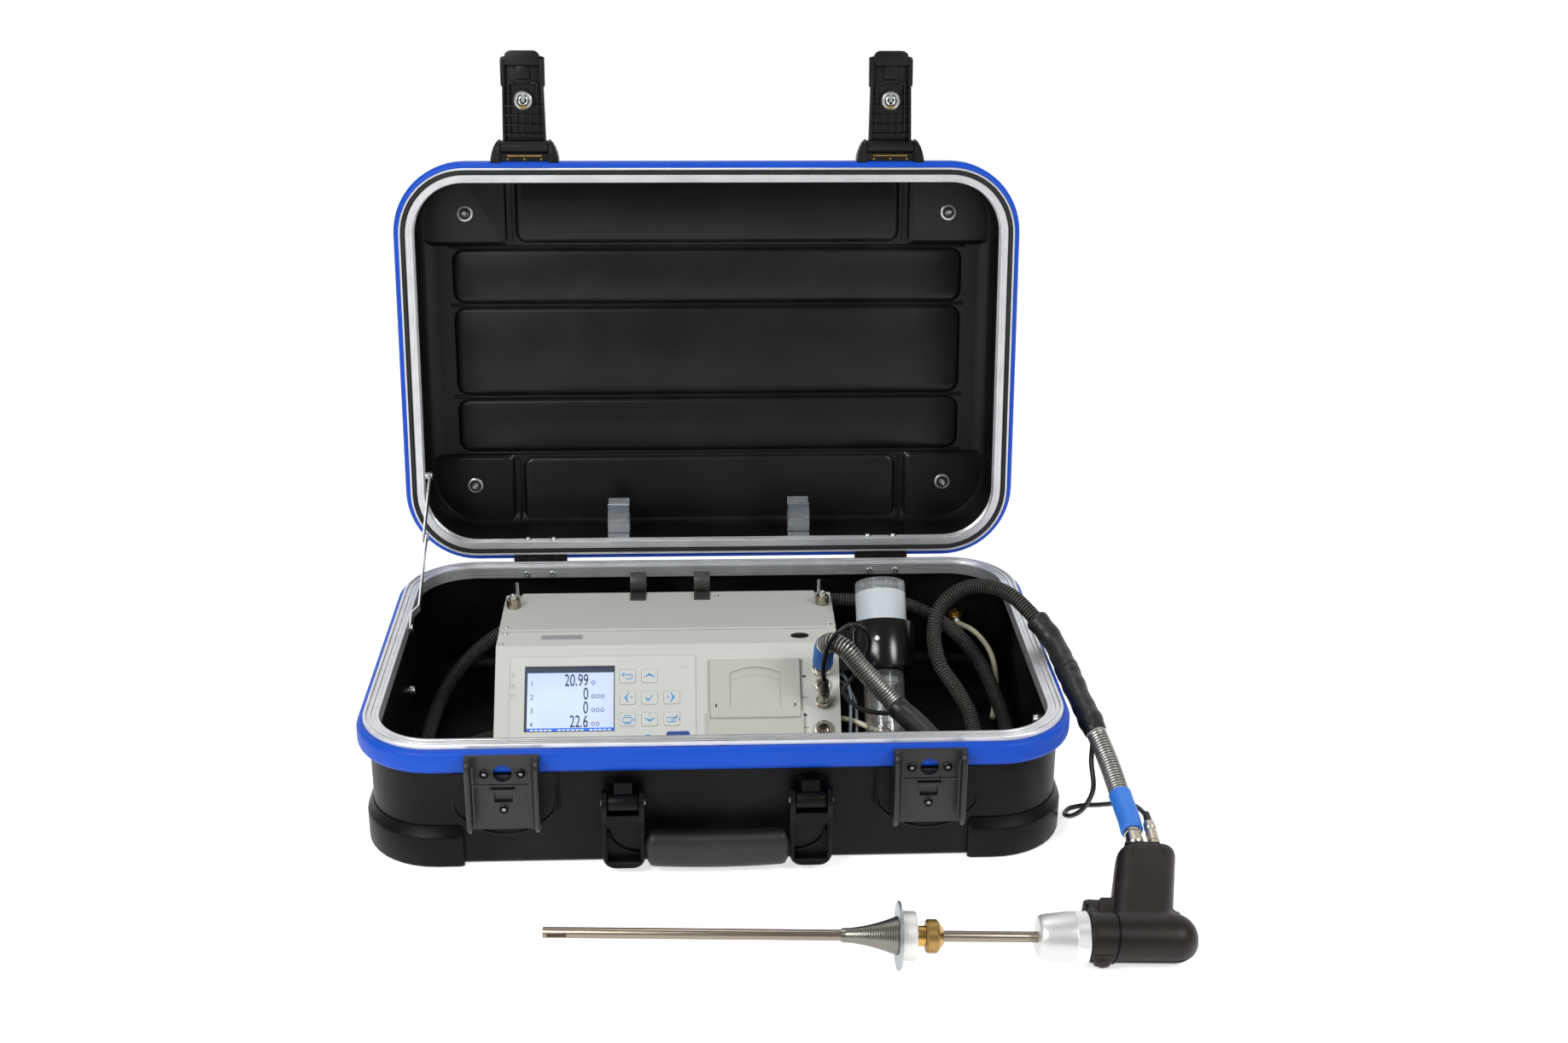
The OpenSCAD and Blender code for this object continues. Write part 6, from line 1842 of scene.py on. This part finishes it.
@dataclass
class Probe:
    """The sampling probe: tube, depth stop with its clamp nut, collar, handle and trigger."""

    shop: Workshop
    tube_r: float = 4.0
    disc_r: float = 25.0
    barrel_r: float = 18.0
    tail: float = 202.0
    lift: float = 14.0

    def __post_init__(self) -> None:
        """Finds the probe's axis from the nut's joint."""
        joint = self.shop.joint("depth_stop_slide")
        axis = Vector(joint["axis"]).normalized()
        tilt = degrees(atan2(-axis.z, axis.x))
        self.place = move(128, -323, self.disc_r + 0.1) @ turn(tilt, "Y")
        self.grip_place = self.place @ turn(self.lift, "X")

    def build(self) -> None:
        """Makes the probe."""
        self.shop.dress("probe_tube", PROBE_STEEL, 0.1)
        self.stop()
        self.collar()
        self.handle()

    def stop(self) -> None:
        """The trumpet cone, disc, knurled collar, brass neck and knurled nut."""
        bore = self.tube_r + 0.1
        cone = [(-41, bore), (-41, self.tube_r + 0.9), (-39.6, self.tube_r + 1.1)]
        for i in range(1, 45):
            t = i / 44
            r = self.tube_r + 1.2 + 8.8 * t ** 1.7
            cone.append((-39 + 38.4 * t, r + (0.16 if i % 2 else -0.1)))
        cone += [(0, 12.4), (0, bore)]
        self.shop.piece("depth_cone_turned", Shape().lathe(cone, self.place, 56, closed=True), CONE_STEEL,
            "depth_stop", ("depth_cone",), smooth=20)
        r = self.disc_r
        disc = Shape().lathe([(0, bore), (-0.2, 12), (-0.2, r - 0.7), (0.2, r - 0.1), (1.4, r - 0.1),
            (1.9, r - 0.7), (1.9, 17), (1.9, bore)], self.place, 72, closed=True)
        self.shop.piece("depth_stop_disc", disc, DISC_ZINC, "depth_stop", smooth=30)
        self.knurled("depth_stop_collar", [(1.9, 17.2), (2.6, 17.7), (12.3, 17.7), (13, 17.0)], KNURLED_ZINC,
            "depth_stop", bore)
        neck = Shape().lathe([(13, bore), (13, 8.2), (14.6, 8.2), (15, 7.4), (20, 7.4), (20, bore)],
            self.place, 40, closed=True)
        self.shop.piece("depth_stop_neck", neck, BRASS, "depth_stop", smooth=30)
        self.knurled("clamp_nut_knurled", [(20.2, 10.8), (21.4, 12.1), (28.2, 12.1), (29.4, 10.8)],
            KNURLED_BRASS, "clamp_nut", 7.6, ("clamp_nut",))
        tail = Shape().lathe([(29.4, 5), (29.4, 10.8), (33.2, 6.0), (33.4, 5.2), (33.4, 5)], self.place, 40,
            closed=True)
        self.shop.piece("clamp_nut_cone", tail, BRASS, "clamp_nut", smooth=30)

    def knurled(self, name: str, skin: Profile, finish: Finish, body: str, bore: float,
            replaces: Sequence[str] = ()) -> None:
        """A collar with a knurled rim.

        Args:
            name: the piece's name.
            skin: the rim's section, (along, radius).
            finish: what it is made of.
            body: the body it rides on.
            bore: the radius of its hole.
            replaces: the CAD nodes it stands for.
        """
        start, end = skin[0][0], skin[-1][0]
        sides, rows = 120, max(3, int((end - start) / 1.2))
        rings = []
        for i in range(rows + 1):
            x = start + (end - start) * i / rows
            r = next(a[1] + (b[1] - a[1]) * (x - a[0]) / max(b[0] - a[0], 1e-6) for a,
                b in zip(skin, skin[1:]) if a[0] - 1e-6 <= x <= b[0] + 1e-6)
            ring = []
            for k in range(sides):
                a = 2 * pi * k / sides
                cut = 0.28 if (k + i) % 2 else 0.0
                ring.append(self.place @ Vector((x, (r - cut) * cos(a), (r - cut) * sin(a))))
            rings.append(ring)
        inner = [[self.place @ Vector((x, bore * cos(a), bore * sin(a)))
            for a in [2 * pi * k / sides for k in range(sides)]] for x in (end, start)]
        shape = Shape().loft([*rings, *inner], loop=True)
        self.shop.piece(name, shape, finish, body, replaces, smooth=10)

    def collar(self) -> None:
        """The satin aluminium sleeve with its bright fluted rear ring."""
        r = self.barrel_r + 0.8
        sleeve = Shape().lathe([(102, 4.2), (102, 13.6), (102.5, 14.8), (104, 15.9), (108, 16.8),
            (123, r - 0.1), (128, r), (128, 4.2)], self.place, 72, closed=True)
        self.shop.piece("probe_collar_satin", sleeve, SATIN_ALUMINIUM, replaces=("probe_collar",), smooth=35)
        ring = []
        for x, cut in ((128, 0.3), (128.4, 0), (137.4, 0), (138, 0.4)):
            line = []
            for k in range(220):
                a = 2 * pi * k / 220
                deep = 0.1 if k % 2 and 128.2 < x < 137.8 else 0.0
                line.append(self.place @ Vector((x, (r + 0.1 - cut - deep) * cos(a),
                    (r + 0.1 - cut - deep) * sin(a))))
            ring.append(line)
        self.shop.piece("probe_collar_ring", Shape().loft(ring), FLUTED_ALUMINIUM, smooth=12)

    def handle(self) -> None:
        """The pistol handle: barrel and grip run into each other with soft fillets."""
        r = self.barrel_r
        shape = Shape().lathe([(138.2, 0.05), (138.2, r - 0.4), (139, r + 0.2), (self.tail, r + 0.2),
            *[(self.tail + (r + 0.2) * sin(a), (r + 0.2) * cos(a))
            for a in [radians(9 * k) for k in range(1, 10)]], (self.tail + r + 0.2, 0.05)], self.place, 64)
        rings = []
        for h in (-4, 6, 16, 30, 50, 66, 76, 80, 83, 84.8, 85.4):
            left, right = 153 + 0.265 * h, 200 + 0.235 * h + (5 * max(0.0, 1 - h / 18) ** 2)
            less = 9 - sqrt(max(0.0, 81 - max(0.0, h - 76.6) ** 2)) if h > 76.6 else 0.0
            flat = rounded_outline(right - left - 2 * less + 1, 31 - 1.6 * less, 11.5 - 0.7 * less, 6)
            rings.append([self.grip_place @ Vector(((left + right) / 2 + a, h, b)) for a, b in flat])
        shape.loft(rings)
        for x, way, bend in ((154.5, -1, 13), (203, 1, 7)):
            curve = [(x + way * bend * (1 - cos(a)), r + bend * (1 - sin(a)))
                for a in [radians(10 * k) for k in range(10)]]
            web = [(x - way * 5, r - 8), (x - way * 5, r + bend), *curve, (x + way * bend, r - 8)]
            shape.extrude(web[::-way], -11, 11, self.place @ turn(6, "X"))
        self.shop.piece("probe_handle_moulding", self.blended(shape, 1.25, 14), PROBE_PLASTIC,
            replaces=("probe_handle",), smooth=180)
        self.trigger()
        self.seams()

    def blended(self, shape: Shape, voxel: float, rounds: int) -> BMesh:
        """Joins overlapping shapes into one skin with soft fillets.

        Args:
            shape: the overlapping shapes.
            voxel: the size of the grid they are rebuilt on.
            rounds: how often the skin is smoothed.

        Returns:
            The skin, in millimetres.
        """
        bm = shape.bmesh()
        mesh = bpy.data.meshes.new("blend_source")
        bm.to_mesh(mesh)
        bm.free()
        holder = bpy.data.objects.new("blend_source", mesh)
        bpy.context.scene.collection.objects.link(holder)
        remesh = holder.modifiers.new("remesh", "REMESH")
        remesh.mode, remesh.voxel_size = "VOXEL", voxel
        smooth = holder.modifiers.new("smooth", "SMOOTH")
        smooth.factor, smooth.iterations = 0.5, rounds
        result = bpy.data.meshes.new_from_object(holder.evaluated_get(bpy.context.evaluated_depsgraph_get()))
        bm = bmesh.new()
        bm.from_mesh(result)
        bpy.data.objects.remove(holder)
        bpy.data.meshes.remove(mesh)
        bpy.data.meshes.remove(result)
        return bm

    def trigger(self) -> None:
        """The trigger with its two cheeks on the grip."""
        hook = [(158, 16), (157, 32), (144, 32.8), (140.4, 31.6), (139.4, 29.4), (140.6, 27.6), (144, 26.8),
            (146.6, 24), (148, 17)]
        bm = Shape().extrude(hook[::-1], -5.5, 5.5, self.grip_place).bmesh()
        soften(bm, 0.9, 30, 3)
        self.shop.piece("probe_trigger_hook", bm, MouldedPlastic("polished_black_trigger", "#0c0d0e", 0.3,
            grain=0.8, depth=0.02, slot="probe_plastic"), "trigger", ("probe_trigger",), smooth=40)
        cheeks = Shape()
        flat = [(149, 15), (158, 13), (166, 26), (166, 30), (152, 30), (150, 27)]
        for z0, z1 in ((6.5, 10.6), (-10.6, -6.5)):
            cheeks.extrude(flat, z0, z1, self.grip_place)
        bm = cheeks.bmesh()
        soften(bm, 1.0, 30, 3)
        self.shop.piece("probe_trigger_cheeks", bm, PROBE_PLASTIC, smooth=40)

    def seams(self) -> None:
        """The slit ring, parting line and frame lines near the grip's top as dark lines of painted shade, and
        the lock knob.
        """
        r = self.barrel_r + 0.2
        slit = Shape()
        for start, end in ((-62, 118), (122, 128)):
            line = []
            for k in range(33):
                a = radians(start + (end - start) * k / 32)
                line.append(self.place @ Vector((158 + 1.6 * sin(a), -r * cos(a), r * sin(a))))
            slit.tube(line, 0.75, 8)
        seam = [Vector((x, -r * cos(0.56), -r * sin(0.56))) for x in (139, 150, 165, 180, 195, self.tail)]
        for k in range(1, 10):
            a = radians(10 * k)
            seam.append(Vector((self.tail + r * sin(a), -r * cos(a) * cos(0.56), -r * cos(a) * sin(0.56))))
        slit.tube([self.place @ p for p in seam], 0.35, 6)
        for line in (((171, 81), (167.5, 69)), ((190, 81), (192.5, 70)), ((172, 81.6), (190, 81.6))):
            slit.tube([self.grip_place @ Vector((p[0] + 15, p[1], 15.2)) for p in line], 0.35, 6)
        # The slit and seam lines are thin dark tubes: painted shade in the slit and along the seams.
        slit.uvs = None
        self.shop.piece("probe_handle_seam_shade", slit, BLACK_STEEL, smooth=60)
        knob = Shape().lathe([(-7.5, 0.1), (-7.2, 3.4), (-5, 6.2), (0, 7.2), (4.6, 6.0), (7, 3), (7.4, 0.1)],
            self.place @ move(148, -12.6, -9.2) @ turn(8, "Y"), 28)
        knob.block((-6.4, -4.8, 3.2), (7.4, 4.8, 6.4), self.place @ move(148, -13.6, -9.2))
        bm = knob.bmesh()
        soften(bm, 0.6, 40)
        self.shop.piece("probe_lock_knob", bm, PROBE_PLASTIC, smooth=50)
        top = Shape().block((180, 84.0, -12), (207, 86.2, 12), self.grip_place)
        bm = top.bmesh()
        soften(bm, 0.8)
        self.shop.piece("probe_grip_top_plate", bm, LEAD_PVC, smooth=40)


# ---------------------------------------------------------------- studio


@dataclass
class Studio:
    """Pale floor, soft white light, and the camera in front of the case, above it and looking down."""

    camera_at: tuple[float, float, float] = (-15.0, -1487.3, 816.4)
    pitch: float = 21.87
    yaw: float = 2.867
    roll: float = 0.4955
    lens: float = 43.88
    sensor: float = 36.0

    def build_camera(self) -> None:
        """Places the camera."""
        pitch, yaw, roll = (radians(a) for a in (self.pitch, self.yaw, self.roll))
        ahead = Vector((sin(yaw) * cos(pitch), cos(yaw) * cos(pitch), -sin(pitch)))
        right = ahead.cross(Vector((0, 0, 1))).normalized()
        up = right.cross(ahead)
        rolled = right * cos(roll) + up * sin(roll)
        lifted = up * cos(roll) - right * sin(roll)
        data = bpy.data.cameras.new("camera")
        data.lens, data.sensor_width, data.sensor_fit = self.lens, self.sensor, "HORIZONTAL"
        data.clip_start, data.clip_end = 0.05, 80
        camera = bpy.data.objects.new("camera", data)
        camera.matrix_world = (Matrix.Translation(Vector(self.camera_at) * MM)
            @ Matrix((rolled, lifted, -ahead)).transposed().to_4x4())
        bpy.context.scene.collection.objects.link(camera)
        bpy.context.scene.camera = camera

    def paint(self, name: str, colour: str, roughness: float, glow: float) -> Material:
        """Makes a paint that gives off white light.

        Args:
            name: its name.
            colour: its colour, as sRGB hex.
            roughness: how matt it is.
            glow: how strongly it gives off light.

        Returns:
            The material.
        """
        made = bpy.data.materials.new(name)
        made.use_nodes = True
        inputs = made.node_tree.nodes["Principled BSDF"].inputs
        inputs["Base Color"].default_value = hex_linear(colour)
        inputs["Roughness"].default_value = roughness
        inputs["Emission Color"].default_value = hex_linear("#ffffff")
        inputs["Emission Strength"].default_value = glow
        return made

    def build_light(self) -> None:
        """Makes the floor, the white surroundings and the soft boxes."""
        mesh = bpy.data.meshes.new("studio_floor")
        mesh.from_pydata([(-20, -20, 0), (20, -20, 0), (20, 20, 0), (-20, 20, 0)], [], [(0, 1, 2, 3)])
        mesh.materials.append(self.paint("studio_floor_paint", "#d8d8d8", 0.9, 0.7))
        floor = bpy.data.objects.new("studio_floor", mesh)
        floor.location.z = -0.0006
        bpy.context.scene.collection.objects.link(floor)
        self.build_wall()
        self.build_world()
        boxes = (((-1.1, -1.4, 1.5), 0.9, 30.0), ((1.3, -1.2, 1.4), 0.7, 17.0), ((-0.2, 0.5, 2.3), 0.8, 8.0))
        for i, (at, size, power) in enumerate(boxes):
            data = bpy.data.lights.new(f"soft_box_{i}", "AREA")
            data.shape, data.size, data.energy = "DISK", size, power
            light = bpy.data.objects.new(f"soft_box_{i}", data)
            light.location = at
            aim = Vector((0, 0.05, 0.15)) - Vector(at)
            light.rotation_euler = aim.to_track_quat("-Z", "Y").to_euler()
            bpy.context.scene.collection.objects.link(light)
        bpy.context.scene.view_settings.view_transform = "Standard"

    def build_wall(self) -> None:
        """Makes a round white wall far behind everything. It is only a background: it lights nothing."""
        sides, reach, height = 64, 19.0, 14.0
        ring = [(reach * cos(2 * pi * k / sides), reach * sin(2 * pi * k / sides)) for k in range(sides)]
        mesh = bpy.data.meshes.new("studio_wall")
        mesh.from_pydata([(x, y, z) for z in (-0.1, height) for x, y in ring], [],
            [(k, (k + 1) % sides, sides + (k + 1) % sides, sides + k) for k in range(sides)])
        mesh.materials.append(self.paint("studio_wall_paper", "#000000", 0.5, 1.0))
        wall = bpy.data.objects.new("studio_wall", mesh)
        wall.visible_diffuse = wall.visible_glossy = wall.visible_transmission = wall.visible_shadow = False
        bpy.context.scene.collection.objects.link(wall)

    def build_world(self) -> None:
        """White wall behind the case, and a dim room on the open side."""
        world = bpy.data.worlds.new("studio_world")
        bpy.context.scene.world = world
        world.use_nodes = True
        tree = world.node_tree
        at = add_node(tree, "TexCoord", {}, {})
        parts = add_node(tree, "SeparateXYZ", {}, {"Vector": at.outputs["Generated"]})
        wall = add_node(tree, "MapRange", {}, {"Value": parts.outputs["Y"], "From Min": 0.1, "From Max": 0.6,
            "To Min": 0.2, "To Max": 1.0})
        ground = tree.nodes["Background"]
        ground.inputs["Color"].default_value = hex_linear("#ffffff")
        tree.links.new(wall.outputs["Result"], ground.inputs["Strength"])


def main() -> None:
    """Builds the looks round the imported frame, piece by piece."""
    logging.basicConfig(level=logging.INFO, format="%(message)s")
    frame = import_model()
    shop = Workshop(frame)
    studio = Studio()
    studio.build_camera()
    HoseAndLeads(shop).build()
    case = HardCase(shop)
    case.build()
    Latches(shop, case).build()
    CarryHandle(shop).build()
    Analyser(shop).build()
    GasFilter(shop).build()
    Probe(shop).build()
    studio.build_light()
    LOG.info("%d pieces made", shop.count)


if __name__ == "__main__":
    main()
